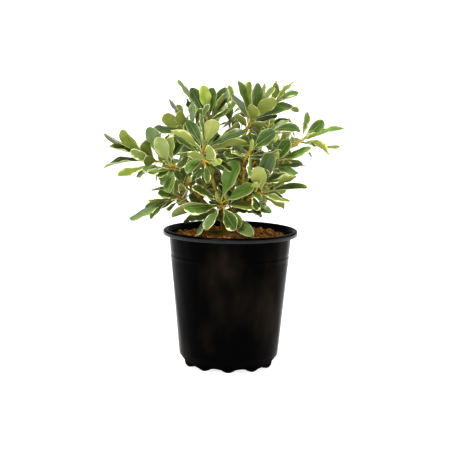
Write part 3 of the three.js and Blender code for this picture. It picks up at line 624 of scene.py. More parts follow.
def finish(name, colour, grain, rough, tint=None, relief=None, sockets=None):
    """A material of one colour, or of stops of colours along the noise tint. Its roughness goes
    between two values along the noise grain. Its relief is a noise, its depth in metres and its
    strength. A noise is its scale and detail, and perhaps how it is stretched and shifted."""
    material = bpy.data.materials.new(name)
    material.use_nodes = True
    nodes = Nodes(material.node_tree)
    place = nodes.add("ShaderNodeTexCoord")["Object"]
    plain = (*linear(*colour), 1) if tint is None else ramp(nodes, noise(nodes, place, *tint), colour)
    wires = {"Base Color": plain, "Roughness": rescale(nodes, noise(nodes, place, *grain), *rough)}
    if relief:
        height, depth, strength = relief
        height = noise(nodes, place, *height)
        wires["Normal"] = nodes.add("ShaderNodeBump", {
            "Height": height, "Distance": depth, "Strength": strength})[0]
    shaded = nodes.add("ShaderNodeBsdfPrincipled", {**wires, **(sockets or {})})
    nodes.add("ShaderNodeOutputMaterial", {"Surface": shaded[0]})
    return material


def plastic_finish():
    """Black plastic with a painted faint warm reflection all round it, in broad uneven patches"""
    # The two warm stops paint in a faint reflection, in patches all round the pot.
    stops = [(0.0, (2, 2, 3)), (0.51, (3, 3, 4)), (0.63, (19, 16, 12)), (0.73, (34, 28, 22))]
    return finish("pot_plastic", stops, tint=(17.0, 3.0, (1, 1, 0.55), (0.034, 0, -0.02)),
                  grain=(260.0, 4.0), rough=(0.14, 0.26),
                  relief=((16.0, 4.0, (1, 1, 0.22)), 0.004, 0.6), sockets={"Specular IOR Level": 0.022})


def foot_finish():
    """The dull underside of the pot and its foot"""
    dust = (200.0, 3.0)
    return finish("pot_foot", [(0.4, (3, 3, 4)), (0.7, (9, 9, 11))], tint=dust, grain=dust, rough=(0.5, 0.7),
                  sockets={"Specular IOR Level": 0.01})


def lip_finish():
    """The duller plastic of the rolled lip, lighter grey in scuffs and in a painted highlight"""
    scuffs_and_highlight = (120.0, 4.0)
    # Its lighter grey stops are scuffs, and also a painted highlight along the lip.
    return finish("pot_lip", [(0.35, (7, 8, 10)), (0.6, (17, 19, 22)), (0.75, (40, 42, 45))],
                  tint=scuffs_and_highlight, grain=scuffs_and_highlight, rough=(0.25, 0.4), relief=(scuffs_and_highlight, 0.0005, 0.4),
                  sockets={"Specular IOR Level": 0.36})


def bark_finish():
    """Young olive bark, streaked along the bough"""
    grain = (1400.0, 3.0)
    stops = [(0.3, (98, 76, 24)), (0.48, (146, 124, 40)), (0.62, (180, 160, 58)), (0.75, (150, 148, 60))]
    return finish("bark", stops, tint=(260.0, 4.0, (1, 1, 0.3)), grain=grain, rough=(0.6, 0.9),
                  relief=(grain, 0.0004, 0.8))


def twig_finish():
    """The orange and green skin of this year's twigs"""
    grain = (1500.0, 2.0)
    stops = [(0.3, (150, 106, 20)), (0.5, (192, 148, 36)), (0.68, (176, 164, 62))]
    return finish("green_twig", stops, tint=(220.0, 3.0), grain=grain, rough=(0.45, 0.7),
                  relief=(grain, 0.0003, 0.6))


def mix_finish(name, scale, stops):
    """Damp bark and what lies in it, dull and grainy"""
    grain = (1600.0, 3.0)
    return finish(name, stops, tint=(scale, 4.0), grain=grain, rough=(0.75, 0.98),
                  relief=(grain, 0.0005, 0.9))


def leaf_finish(name, colour, roughness):
    """A leathery blade: one colour, with a fine unevenness that breaks up its shine"""
    grain = (900.0, 2.0)
    return finish(name, colour, grain=grain, rough=(roughness - 0.06, roughness + 0.1),
                  relief=(grain, 0.0003, 0.5),
                  sockets={"Coat Weight": 0.25, "Coat Roughness": 0.24, "Specular IOR Level": 0.45})


# What the mix is made of, each with the scale of its patches and their colours
MIX_COLOURS = {
    "ground": (300.0, [(0.3, (36, 22, 9)), (0.55, (92, 58, 22)), (0.75, (130, 88, 38))]),
    "chips": (150.0, [(0.3, (122, 72, 28)), (0.5, (206, 144, 66)), (0.7, (244, 206, 140))]),
    "crumbs": (210.0, [(0.3, (88, 54, 20)), (0.5, (180, 118, 46)), (0.7, (224, 168, 88))]),
    "fibre": (120.0, [(0.3, (150, 114, 60)), (0.7, (222, 186, 124))]),
    "moss": (200.0, [(0.3, (54, 82, 10)), (0.7, (122, 148, 44))]),
}
# Each set is the green of a blade, the lighter green and the pale band outside it, its margin and
# its underside.
LEAF_SETS = {
    "deep": ((60, 82, 30), (76, 100, 38), (108, 126, 60), (246, 241, 186), (126, 140, 70)),
    "plain": ((82, 108, 42), (98, 124, 52), (130, 146, 72), (250, 246, 198), (142, 154, 78)),
    "soft": ((106, 137, 60), (122, 150, 70), (152, 168, 90), (252, 248, 206), (160, 170, 88)),
    "pale": ((150, 164, 82), (162, 174, 94), (182, 188, 116), (252, 248, 208), (174, 180, 98)),
    "grey": ((98, 120, 66), (114, 134, 78), (146, 158, 98), (252, 248, 210), (144, 152, 94)),
    "olive": ((118, 136, 58), (132, 146, 66), (160, 168, 86), (250, 245, 194), (162, 170, 88)),
    "young": ((170, 188, 82), (182, 198, 92), (200, 206, 112), (244, 242, 174), (178, 188, 92)),
}
ZONES = ("green", "light", "band", "margin", "under")
TOP_ROUGHNESS = 0.38
UNDER_ROUGHNESS = 0.5
STALK_ROUGHNESS = 0.45

materials = {
    "pot": plastic_finish(),
    "lip": lip_finish(),
    "foot": foot_finish(),
    "bark": bark_finish(),
    "twig": twig_finish(),
    "petiole": leaf_finish("leaf_petiole", (210, 200, 96), STALK_ROUGHNESS),
    "rib": leaf_finish("leaf_rib", (150, 166, 88), STALK_ROUGHNESS),
    "under_rim": leaf_finish("leaf_under_margin", (222, 220, 146), UNDER_ROUGHNESS),
}
for mix_name, (scale, stops) in MIX_COLOURS.items():
    materials[mix_name] = mix_finish("mix_" + mix_name, scale, stops)
for set_name, colours in LEAF_SETS.items():
    for zone, colour in zip(ZONES, colours):
        roughness = UNDER_ROUGHNESS if zone == "under" else TOP_ROUGHNESS
        materials[f"{set_name}_{zone}"] = leaf_finish(f"leaf_{set_name}_{zone}", colour, roughness)
LEAF_MATERIALS = ["petiole", "rib", "under_rim"] + [f"{name}_{zone}" for name in LEAF_SETS for zone in ZONES]


# Making pieces

def piece_of(name, mesh, nodes):
    """A finished mesh as a piece of the plant, which stands for nodes of the frame"""
    piece = bpy.data.objects.new(name, mesh)
    bpy.context.collection.objects.link(piece)
    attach(piece, "root")
    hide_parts(*nodes)


def mesh_of(name, points, faces):
    """A smooth mesh of points in millimetres and its faces"""
    mesh = bpy.data.meshes.new(name)
    mesh.from_pydata([tuple(point) for point in np.asarray(points) * MM], [], faces)
    mesh.validate()
    mesh.shade_smooth()
    return mesh


def shape_tree(name, **inputs):
    """A Geometry Nodes tree with a named input for each size, and the sockets they come from"""
    tree = bpy.data.node_groups.new(name, "GeometryNodeTree")
    tree.interface.new_socket("Geometry", in_out="INPUT", socket_type="NodeSocketGeometry")
    for label, kind in inputs.items():
        tree.interface.new_socket(label, in_out="INPUT", socket_type="NodeSocket" + kind)
    tree.interface.new_socket("Geometry", in_out="OUTPUT", socket_type="NodeSocketGeometry")
    nodes = Nodes(tree)
    return nodes, nodes.add("NodeGroupInput")


def end_tree(nodes, geometry, material):
    """Ends a tree: its instances are made real and get their material."""
    real = nodes.add("GeometryNodeRealizeInstances", {"Geometry": geometry})
    painted = nodes.add("GeometryNodeSetMaterial", {"Geometry": real[0], "Material": material})
    nodes.add("NodeGroupOutput", {0: painted[0]})
    return nodes.tree


def grown(name, source, tree, **sizes):
    """The plain mesh that a tree makes of a source mesh"""
    holder = bpy.data.objects.new(name + "_source", source)
    bpy.context.collection.objects.link(holder)
    modifier = holder.modifiers.new("shape", "NODES")
    modifier.node_group = tree
    for socket in tree.interface.items_tree:
        if socket.in_out == "INPUT" and socket.name in sizes:
            modifier[socket.identifier] = sizes[socket.name]
    depsgraph = bpy.context.evaluated_depsgraph_get()
    mesh = bpy.data.meshes.new_from_object(holder.evaluated_get(depsgraph), depsgraph=depsgraph)
    mesh.name = name
    holder.modifiers.remove(modifier)
    bpy.data.objects.remove(holder)
    return mesh


# Trunk, boughs and twigs

FURROW_STRETCH = (1, 1, 0.3)
BARK = {"Sides": 20, "Relief": 0.9 * MM, "Grain": 420.0}
TWIG = {"Sides": 12, "Relief": 0.35 * MM, "Grain": 700.0}
BARK_STEPS = 48
SWELLING = 0.12  # how far old leaf scars stand out round a bough, as a share of its radius
SCAR_SPACING = 6.5
SCAR_STAGGER = 0.37
SCAR_SHARPNESS = 6
TRUNK_SUNK = 3  # how far the trunk goes down into the mix
TRUNK_SPREAD = 1.1
TWIG_STEPS = 40
NODE_SWELLING = 0.22
NODE_REACH = 0.9
TWIG_SCARS = 0.1
TWIG_SCAR_SPACING = 4.2
TWIG_SCAR_SHARPNESS = 8
BUD = ((0.9, 1.35), (1.9, 1.5), (3, 1.15), (4, 0.5), (4.5, 0.12))  # distance past the tip and radius


def limb_tree():
    """A tube along each path, as thick as the path says, with furrows that run along it"""
    nodes, sizes = shape_tree("limb", Sides="Int", Relief="Float", Grain="Float", Material="Material")
    curve = nodes.add("GeometryNodeMeshToCurve", {"Mesh": sizes["Geometry"]})
    thickness = nodes.add("GeometryNodeInputNamedAttribute", {"Name": "thickness"}, data_type="FLOAT")
    outline = nodes.add("GeometryNodeCurvePrimitiveCircle", {"Resolution": sizes["Sides"], "Radius": 1.0})
    tube = nodes.add("GeometryNodeCurveToMesh", {"Curve": curve[0], "Profile Curve": outline[0],
                                                 "Scale": thickness[0], "Fill Caps": True})
    place = nodes.add("GeometryNodeInputPosition")
    drawn = nodes.vector("MULTIPLY", {0: place[0], 1: FURROW_STRETCH})
    furrow = nodes.add("ShaderNodeTexNoise", {"Vector": drawn, "Scale": sizes["Grain"], "Detail": 3.0})
    depth = nodes.math("MULTIPLY", nodes.math("SUBTRACT", furrow["Fac"], 0.5), sizes["Relief"])
    normal = nodes.add("GeometryNodeInputNormal")
    offset = nodes.vector("SCALE", {0: normal[0], "Scale": depth})
    furrowed = nodes.add("GeometryNodeSetPosition", {"Geometry": tube[0], "Offset": offset})
    smooth = nodes.add("GeometryNodeSetShadeSmooth", {"Geometry": furrowed[0], "Shade Smooth": True})
    return end_tree(nodes, smooth[0], sizes["Material"])


def path_mesh(name, paths):
    """Open paths as edges, each given as its points and how thick it is at them, in millimetres"""
    points, edges, radii = [], [], []
    for path, thick in paths:
        first = len(points)
        points += [tuple(point) for point in np.asarray(path) * MM]
        radii += [float(radius) * MM for radius in thick]
        edges += [(first + k, first + k + 1) for k in range(len(path) - 1)]
    mesh = bpy.data.meshes.new(name)
    mesh.from_pydata(points, edges, [])
    mesh.attributes.new("thickness", "FLOAT", "POINT").data.foreach_set("value", radii)
    return mesh


def bark_path(name, limb, number):
    """A limb's middle and thickness, ringed by the scars of old leaves"""
    shares = np.linspace(0, 1, BARK_STEPS)
    points = limb.point(shares)
    radii = np.asarray(limb.radius_at(shares), float)
    along = np.linalg.norm(np.diff(points, axis=0), axis=1).sum() * shares
    rings = np.cos(2 * np.pi * (along / SCAR_SPACING + SCAR_STAGGER * number))
    radii = radii * (1 + SWELLING * np.maximum(0, rings) ** SCAR_SHARPNESS)
    if name == "trunk":
        below = points[0] - (0, 0, TRUNK_SUNK)
        points, radii = np.vstack((below, points)), np.append(radii[0] * TRUNK_SPREAD, radii)
    return points, radii


def make_bark(tree, limbs):
    """The trunk and the boughs"""
    for number, (name, limb) in enumerate(limbs.items()):
        source = path_mesh(name, [bark_path(name, limb, number)])
        mesh = grown("bark_" + name, source, tree, Material=materials["bark"], **BARK)
        piece_of("bark_" + name, mesh, [name])


def twig_path(shoot, leaves):
    """A twig with a swelling under each leaf, and the bud at its tip"""
    twig = shoot["twig"]
    shares = np.linspace(0, 1, TWIG_STEPS)
    radii = np.asarray(twig.radius_at(shares), float)
    swelling = np.zeros(TWIG_STEPS)
    for leaf in leaves:
        away = np.linalg.norm(twig.point(shares) - leaf["base"], axis=1)
        swelling = np.maximum(swelling, np.exp(-(away / NODE_REACH) ** 2))
    rings = np.cos(2 * np.pi * shares * shoot["reach"] / TWIG_SCAR_SPACING)
    scars = np.maximum(0, rings) ** TWIG_SCAR_SHARPNESS
    radii = radii * (1 + NODE_SWELLING * swelling + TWIG_SCARS * scars)
    ahead = unit(twig.end_direction() + shoot["axis"])
    bud = [twig.tip + distance * ahead for distance, _ in BUD]
    return np.vstack((twig.point(shares), bud)), np.append(radii, [radius for _, radius in BUD])


def make_twigs(tree, masses, leaves):
    """The twigs of each mass, joined"""
    for name, shoots in masses.items():
        paths = [twig_path(shoot, [leaf for leaf in leaves if leaf["shoot"] is shoot]) for shoot in shoots]
        source = path_mesh(name, paths)
        label = "twigs_" + name.removeprefix("leaves_")
        mesh = grown(label, source, tree, Material=materials["twig"], **TWIG)
        piece_of(label, mesh, [name])


# Leaves

BLADE_ROWS = 20
BLADE_END = 0.998
LEAST_HALF = 0.3
RIB_WIDTH = 0.42  # half of it, in millimetres, as the thicknesses below
RIB_END = 1.15
EDGE_THICKNESS = 0.22
BLADE_THICKNESS = 0.5
PETIOLE_THICKNESS = 1.3
PETIOLE_SHARE = 0.13
PETIOLE_END = 0.8  # the share of the foot that has the petiole's colour
PETIOLE_ROUNDING = 0.6
GROOVE_WIDTH = 0.55
GROOVE_DEPTH = 0.22
KEEL_DEPTH = 0.4

# The lines between the colours wander along a blade. Each has its middle and how far it sways:
# the cream's in widths of the leaf's own margin, the pale band's in millimetres, and the lighter
# green's as a share of the green. The least and most of each are shares too.
WAVES = (0.7, 2.2)
WAVES_FADE = 0.6
SIDE_MARGIN = 0.5  # the least of the leaf's margin that a side has, and chance adds up to 1
CREAM = (0.6, 2.4)
LEAST_CREAM = 0.08
CREAM_SHARES = (0.03, 0.55)
BAND = (1.0, 1.5)
BAND_SHARES = (0.04, 0.4)
LIGHT = (0.55, 0.6)
LIGHT_SHARES = (0.2, 0.9)
LIGHT_ALONG = (0.2, 1.3)  # it follows the cream's line, shifted and in shorter waves
RIB_MOST = 0.5

# How a blade's edges ruffle, roll under and lift, and where along it that starts
RUFFLES = 2.3
RUFFLE_POWER = 2.5
RUFFLE_LAG = 1.4  # between the waves of the two edges
RUFFLE_START = (0.15, 0.3)
ROLL_POWER = 6
ROLL_FULL = 3  # the half width from which an edge rolls in full
LIFT_POWER = 3
LIFT_START = (0.1, 0.4)
BLADE_CREASE = 55

# The small leaves round a shoot's bud
YOUNG_LEAVES = 5
YOUNG_SPACING = 0.2
YOUNG_TURN = 60
# The next two are what the innermost young leaf has and what each one outside it has more.
YOUNG_LEAN = (5, 5)
YOUNG_LENGTH = (8, 3.2)
YOUNG_LEAN_JITTER = 6
YOUNG_LENGTH_JITTER = 3
YOUNG_BEND = (-0.25, -0.4)
YOUNG_BREADTH = (0.8, 0.2)
YOUNG_TWIST = 0.2
YOUNG_CUP = 0.3
YOUNG_SEED = 50

LOOKS_SEED = 7 * SEED
LOOKS_SEEDS = 500  # for the leaves of a mass
# The sets dealt to leaves up to a share of the way out from the middle of their whorl: each set
# with the chance up to which it is dealt
DEALT = (
    (0.12, (("young", 0.2), ("olive", 0.6), ("soft", 1))),
    (0.35, (("soft", 0.4), ("olive", 0.55), ("plain", 1))),
    (2, (("deep", 0.4), ("plain", 0.75), ("grey", 0.87), ("soft", 1))),
)
# How far a blade's edges ruffle, roll and lift, how broad its cream margin is in millimetres, and
# by how much an aimed leaf's margin varies: each what it has and what chance adds
RUFFLE = (0.3, 0.8)
ROLLED = (0.2, 0.9)
LIFT = (-0.12, 0.45)
MARGIN = (0.4, 0.9)
MARGIN_SPREAD = (0.8, 0.4)
MARGIN_POWER = 1.5
PLAIN_EDGED = 0.45  # the share of the leaves that have hardly any margin
PLAIN_MARGIN = 0.1
MARGINS = {"+": 1.6, "-": 0.08}  # a broad cream margin or hardly any, in millimetres
# The looks of the leaves that reach out, in order, each a set and perhaps a sign for its margin
REACHING_LOOKS = {
    "leaves_front_low": "soft- soft- plain+ grey- grey+ grey+ deep+ olive- deep- plain+",
    "leaves_low_right": "olive olive+ plain- olive+ grey- plain-",
    "leaves_low_left": "grey- deep+ olive plain deep-",
    "leaves_left": "pale- grey- olive+ plain deep- pale- pale- deep olive+ olive+",
    "leaves_centre": "pale soft+ deep- olive+ deep- olive+ olive+ plain+ plain+",
    "leaves_top_left": "young- deep- deep- olive+ grey+ deep- soft deep- olive- olive deep- olive- "
                       "deep- grey",
    "leaves_top_right": "plain- grey- plain olive olive+ deep- deep- young- olive- olive+ plain- soft+",
    "leaves_right": "deep+ deep+",
    "leaves_front_right": "deep- soft+ olive+",
    "leaves_right_mid": "soft+ deep- soft+ plain-",
    "leaves_far_right": "soft+ plain- soft+ deep+ pale+",
}


def wander(draw, knots):
    """A smooth random line between -1 and 1 along a blade"""
    waves = [(upwards(WAVES, k) + draw(), 2 * math.pi * draw(), 1 / (1 + WAVES_FADE * k))
             for k in range(knots)]
    whole = sum(size for _, _, size in waves)

    def line(s):
        return sum(size * np.sin(2 * math.pi * turns * s + start) for turns, start, size in waves) / whole

    return line


def young_leaf(shoot, number, seed):
    """One of the small upright leaves round a shoot's bud"""
    draw = seeded(seed + YOUNG_SEED + number)
    leaf = {
        "axis": shoot["axis"],
        "base": shoot["twig"].point(1 - YOUNG_SPACING * (number + 1) / shoot["reach"]),
        "turn": shoot["turn"] + YOUNG_TURN + (number + 0.5) * GOLDEN_TURN,
        "lean": upwards(YOUNG_LEAN, number) + YOUNG_LEAN_JITTER * draw(),
        "full_length": upwards(YOUNG_LENGTH, number) + YOUNG_LENGTH_JITTER * draw(),
        "bend": upwards(YOUNG_BEND, draw()),
        "cup": YOUNG_CUP,
        "twist": YOUNG_TWIST * (draw() - 0.5),
        "broad": BLADE_WIDTH * upwards(YOUNG_BREADTH, draw()),
        "roll": 0, "shoot": shoot, "share": 0,
    }
    aim(leaf, 0, 0, 1)
    spread(leaf)
    return leaf


def blade_columns(leaf, s, draw):
    """Where each row of a blade has its points across: margin, paler band, green and midrib"""
    half = np.maximum(leaf["half_width"] * blade_shape(s), LEAST_HALF)
    sides = []
    for _ in range(2):
        edge, inner = wander(draw, 5), wander(draw, 4)
        margin = leaf["margin"] * (SIDE_MARGIN + draw())
        cream = margin * np.maximum(LEAST_CREAM, upwards(CREAM, edge(s)))
        start = 1 - np.clip(cream / half, *CREAM_SHARES)
        band = start - np.clip(upwards(BAND, inner(s)) / half, *BAND_SHARES)
        rib = np.minimum(RIB_WIDTH * (RIB_END - s) / half, RIB_MOST * band)
        lightness = np.clip(upwards(LIGHT, edge(upwards(LIGHT_ALONG, s))), *LIGHT_SHARES)
        light = rib + (band - rib) * lightness
        sides.append(np.stack((np.ones_like(s), (1 + start) / 2, start, band, light, rib), -1))
    left, right = sides
    return np.concatenate((-left, np.zeros((len(s), 1)), right[:, ::-1]), axis=1)


def onset(along, start, over):
    """How far something has come in along a blade, from none to all of it"""
    return np.clip((along - start) / over, 0, 1)


def blade_relief(leaf, along, across, half, draw):
    """How high the edges of a blade stand, as they ruffle, roll under and lift"""
    reach, phase = np.abs(across), 2 * math.pi * draw()
    waves = np.sin(2 * math.pi * (RUFFLES + draw()) * along + phase + RUFFLE_LAG * np.sign(across))
    ruffled = leaf["ruffle"] * (reach ** RUFFLE_POWER * onset(along, *RUFFLE_START)) * waves
    rolled = leaf["rolled"] * reach ** ROLL_POWER * np.clip(half / ROLL_FULL, 0, 1)
    lifted = leaf["lift"] * half * reach ** LIFT_POWER * onset(along, *LIFT_START)
    return ruffled - rolled + lifted


TOP_ZONES = ("margin", "margin", "band", "light", "green", "rib")
UNDER_ZONES = ("under_rim", "under_rim", "under", "under", "under", "rib")


def blade_faces(s, columns):
    """The faces of a closed blade, top and underside, each with the name of its material"""
    rows = len(s)
    other = rows * columns
    faces, zones = [], []
    for i in range(rows - 1):
        petiole = s[i] < PETIOLE_END * PETIOLE_SHARE
        for j in range(columns - 1):
            a, b = i * columns + j, (i + 1) * columns + j
            zone = min(j, columns - 2 - j)
            faces += [(a, a + 1, b + 1, b), (other + b, other + b + 1, other + a + 1, other + a)]
            zones += ["petiole"] * 2 if petiole else [TOP_ZONES[zone], UNDER_ZONES[zone]]
        first, last = i * columns, (i + 1) * columns - 1
        faces += [(first, first + columns, other + first + columns, other + first),
                  (last + columns, last, other + last, other + last + columns)]
        zones += ["petiole" if petiole else "margin"] * 2
    for j in range(columns - 1):
        end = (rows - 1) * columns + j
        faces += [(j + 1, j, other + j, other + j + 1), (end, end + 1, other + end + 1, other + end)]
        zones += ["petiole", "margin"]
    return faces, zones


def blade_arrays(leaf, draw):
    """The points of a closed blade and its faces, each with the name of its material"""
    s = BLADE_END * np.sin(np.linspace(0, math.pi / 2, BLADE_ROWS))
    across = blade_columns(leaf, s, draw)
    along = np.broadcast_to(s[:, None], across.shape)
    middle, normal = blade(leaf, along, across)
    half = (leaf["half_width"] * blade_shape(s))[:, None]
    middle = middle + normal * blade_relief(leaf, along, across, half, draw)[..., None]
    foot = np.clip(1 - along / PETIOLE_SHARE, 0, 1)
    thickness = EDGE_THICKNESS + (BLADE_THICKNESS - EDGE_THICKNESS) * (1 - across ** 2)
    rounded = 1 - PETIOLE_ROUNDING * across ** 2
    thickness = thickness + (PETIOLE_THICKNESS - BLADE_THICKNESS) * foot * rounded
    groove = np.exp(-(across * half / GROOVE_WIDTH) ** 2) * (1 - foot)
    top = middle + normal * (thickness / 2 - GROOVE_DEPTH * groove)[..., None]
    under = middle - normal * (thickness / 2 + KEEL_DEPTH * groove * (1 - along))[..., None]
    points = np.concatenate((top.reshape(-1, 3), under.reshape(-1, 3)))
    return points, *blade_faces(s, across.shape[1])


def leaf_looks(leaf, draw):
    """Deals a leaf its colours, the width of its margin and how its edges stand"""
    chance = draw()
    plain_edged = draw() < PLAIN_EDGED
    width = draw()
    leaf["margin"] = upwards(MARGIN, width ** MARGIN_POWER)
    if plain_edged:
        leaf["margin"] = PLAIN_MARGIN * width
    if "rank" in leaf:
        name = REACHING_LOOKS[leaf["mass"]].split()[leaf["rank"]]
        if name[-1] in MARGINS:
            leaf["margin"] = MARGINS[name[-1]] * upwards(MARGIN_SPREAD, draw())
            name = name[:-1]
    else:
        dealt = next(sets for share, sets in DEALT if leaf["share"] < share)
        name = next(name for name, most in dealt if chance < most)
    leaf["set"] = name
    leaf["ruffle"] = upwards(RUFFLE, draw())
    leaf["rolled"] = upwards(ROLLED, draw() ** 2)
    leaf["lift"] = upwards(LIFT, draw())


def make_leaves(masses, leaves):
    """The blades of each mass, joined: those of its shoots, and the young ones round their buds"""
    index = {name: number for number, name in enumerate(LEAF_MATERIALS)}
    for mass_number, (name, shoots) in enumerate(masses.items()):
        points, faces, zones, first = [], [], [], 0
        own = [leaf for leaf in leaves if leaf["mass"] == name]
        for shoot_number, shoot in enumerate(shoots):
            seed = shoot_seed(mass_number, shoot_number)
            young = [young_leaf(shoot, number, seed) for number in range(YOUNG_LEAVES)]
            own += [leaf for leaf in young if not any(near_leaf(leaf, other) for other in own)]
        for number, leaf in enumerate(own):
            draw = seeded(LOOKS_SEED + LOOKS_SEEDS * mass_number + number)
            leaf_looks(leaf, draw)
            own_points, own_faces, own_zones = blade_arrays(leaf, draw)
            points.append(own_points)
            faces += [tuple(first + corner for corner in face) for face in own_faces]
            dealt = {zone: index[f"{leaf['set']}_{zone}"] for zone in ZONES}
            zones += [dealt[zone] if zone in dealt else index[zone] for zone in own_zones]
            first += len(own_points)
        label = "blades_" + name.removeprefix("leaves_")
        mesh = mesh_of(label, np.concatenate(points), faces)
        for material in LEAF_MATERIALS:
            mesh.materials.append(materials[material])
        mesh.polygons.foreach_set("material_index", zones)
        mesh.set_sharp_from_angle(angle=math.radians(BLADE_CREASE))
        piece_of(label, mesh, [name])


# The pot

POT_SEGMENTS = 240
WALL_RINGS = 22
COLLAR_RINGS = 6
COLLAR_INSET = 0.3  # how far the wall above its band stands back
HEM_ROUND = 0.8
CREST_ROUND = 3.0
WALL_WOBBLE = ((5, 0.16), (8, 0.1), (13, 0.08), (21, 0.05))  # waves round the wall and their height
WOBBLE_START = 1.7
WOBBLE_SLANT = 0.004
WOBBLE_FADE = 30  # how far up from the heel the wobble comes in
SHELL_CREASE = 40
SHELL_MATERIALS = ("pot", "lip", "foot")
DRILL_SEGMENTS = 24
DRILL_START = 1
DRILL_LENGTH = FLOOR_TOP + 3
FOOT_STEPS = 17
SCALLOP_RISE = 6.2
SCALLOP_POWER = 0.8
SCALLOP_TO_FRONT = -math.pi / 2


def wall_radius(height):
    """How wide the wall is on its outside"""
    return WALL_FOOT_RADIUS + WALL_SLOPE * (height - WALL_FOOT_HEIGHT)


def wall_stretch(low, high, rings, inset=0):
    """Points of the profile up the wall between two heights"""
    return [(wall_radius(height) - inset, height) for height in np.linspace(low, high, rings)]


def arc(centre, radius, start, end, steps):
    """Points of a profile round a centre, between two angles in degrees"""
    turns = np.radians(np.linspace(start, end, steps))
    return [(centre[0] + radius * math.cos(turn), centre[1] + radius * math.sin(turn)) for turn in turns]


def pot_profile():
    """The pot's section from the middle of its underside, round the lip, to the middle of its floor"""
    hem = POT_HEIGHT - LIP_DROP
    neck = wall_radius(hem)
    band = wall_radius(BAND_HEIGHT)
    heel = WALL_FOOT_RADIUS - HEEL_INSET
    inside_lip = LIP_RADIUS - LIP_WALL
    pad = [(0, 0), (PAD_RADIUS - 1, 0), *arc((PAD_RADIUS - 1, 1), 1, -90, 0, 4)]
    underside = [
        (PAD_RADIUS + 1, FLOOR_UNDERSIDE - 0.5), (PAD_RADIUS + 3, FLOOR_UNDERSIDE),
        (CHAMFER_RADIUS - 3, FLOOR_UNDERSIDE + 0.2), (CHAMFER_RADIUS, FLOOR_UNDERSIDE + 1),
        (CHAMFER_RADIUS + 2.5, FLOOR_UNDERSIDE + 3),
    ]
    round_heel = [
        (heel, HEEL_HEIGHT - 1.6), (heel + 0.5, HEEL_HEIGHT - 1), (heel + 0.8, HEEL_HEIGHT),
        (WALL_FOOT_RADIUS, WALL_FOOT_HEIGHT),
    ]
    wall = wall_stretch(WALL_FOOT_HEIGHT + 6, BAND_HEIGHT - 1.2, WALL_RINGS)
    step = [(band, BAND_HEIGHT - 1), (band - 0.15, BAND_HEIGHT), (band - 0.45, BAND_HEIGHT + 2.4)]
    collar = wall_stretch(BAND_HEIGHT + 4, hem - 1, COLLAR_RINGS, COLLAR_INSET)
    under_lip = [
        (neck, hem + 1.5), (MOUTH_RADIUS + 0.6, POT_HEIGHT - 3.2), (LIP_CREST_RADIUS - 0.6, POT_HEIGHT - 2),
        (inside_lip, POT_HEIGHT - 3.6), (inside_lip, hem + 0.7),
    ]
    lip = [
        *arc((LIP_RADIUS - HEM_ROUND, hem + HEM_ROUND), HEM_ROUND, 180, 330, 6),
        (LIP_RADIUS, hem + 2), (LIP_RADIUS, POT_HEIGHT - 4),
        *arc((LIP_RADIUS - CREST_ROUND, POT_HEIGHT - CREST_ROUND - 0.1), CREST_ROUND, 8, 90, 9),
        (LIP_CREST_RADIUS - 1.2, POT_HEIGHT), (MOUTH_RADIUS + 1.2, POT_HEIGHT - 0.7),
    ]
    inside = [
        (MOUTH_RADIUS - 0.2, POT_HEIGHT - 2), (MOUTH_RADIUS - 1, POT_HEIGHT - 4), (neck - POT_WALL, hem),
        (band - BAND_STEP - POT_WALL, BAND_HEIGHT), (WALL_FOOT_RADIUS - POT_WALL, WALL_FOOT_HEIGHT),
        (heel - POT_WALL, HEEL_HEIGHT), (CHAMFER_RADIUS - 0.8, FLOOR_TOP + 1),
        (CHAMFER_RADIUS - 6, FLOOR_TOP), (0, FLOOR_TOP),
    ]
    return pad + underside + round_heel + wall + step + collar + under_lip + lip + inside


def lathe(name, profile, segments, wobble=()):
    """A closed mesh turned from a profile that starts and ends on the axis"""
    turns = np.linspace(0, 2 * math.pi, segments, endpoint=False)
    points, faces = [(0, 0, profile[0][1])], []
    for radius, height in profile[1:-1]:
        share = min(1, max(0, (height - HEEL_HEIGHT) / WOBBLE_FADE))
        out = radius + share * sum(
            size * np.sin(count * turns + WOBBLE_START * count + WOBBLE_SLANT * height * count)
            for count, size in wobble)
        points += list(zip(out * np.cos(turns), out * np.sin(turns), np.full(segments, height)))
    points.append((0, 0, profile[-1][1]))
    for j in range(segments):
        k = (j + 1) % segments
        faces.append((0, 1 + k, 1 + j))
        for ring in range(len(profile) - 3):
            low, high = 1 + ring * segments, 1 + (ring + 1) * segments
            faces.append((low + j, low + k, high + k, high + j))
        last = 1 + (len(profile) - 3) * segments
        faces.append((last + j, last + k, len(points) - 1))
    return mesh_of(name, points, faces)


def foot_section(lobe):
    """The foot's section where a scallop stands out in full, not at all, or by a share"""
    rise = SCALLOP_RISE * (1 - lobe)
    outside = [(56.4, 11.6), (54.6 + 0.5 * lobe, 8.4), (53.2 + 1.2 * lobe, 4.8 - 1.4 * lobe)]
    underside = [(52 + lobe, rise + 1.3), (50 + lobe, rise + 0.2), (46, rise), (42.8 - lobe, rise + 0.4)]
    inside = [(40.8 - lobe, rise + 2.2), (40, 7.6), (50, 9.5)]
    return outside + underside + inside


def foot_sector():
    """One scallop of the pot's foot, a tenth of the ring, which meets its neighbours edge to edge"""
    points, faces = [], []
    for turn in np.linspace(-math.pi / LOBES, math.pi / LOBES, FOOT_STEPS):
        section = foot_section((0.5 + 0.5 * math.cos(LOBES * turn)) ** SCALLOP_POWER)
        points += [(radius * math.cos(turn), radius * math.sin(turn), height) for radius, height in section]
    count = len(section)
    for step in range(FOOT_STEPS - 1):
        for k in range(count):
            a, b = step * count + k, step * count + (k + 1) % count
            faces.append((a, b, b + count, a + count))
    return mesh_of("foot", points, faces)


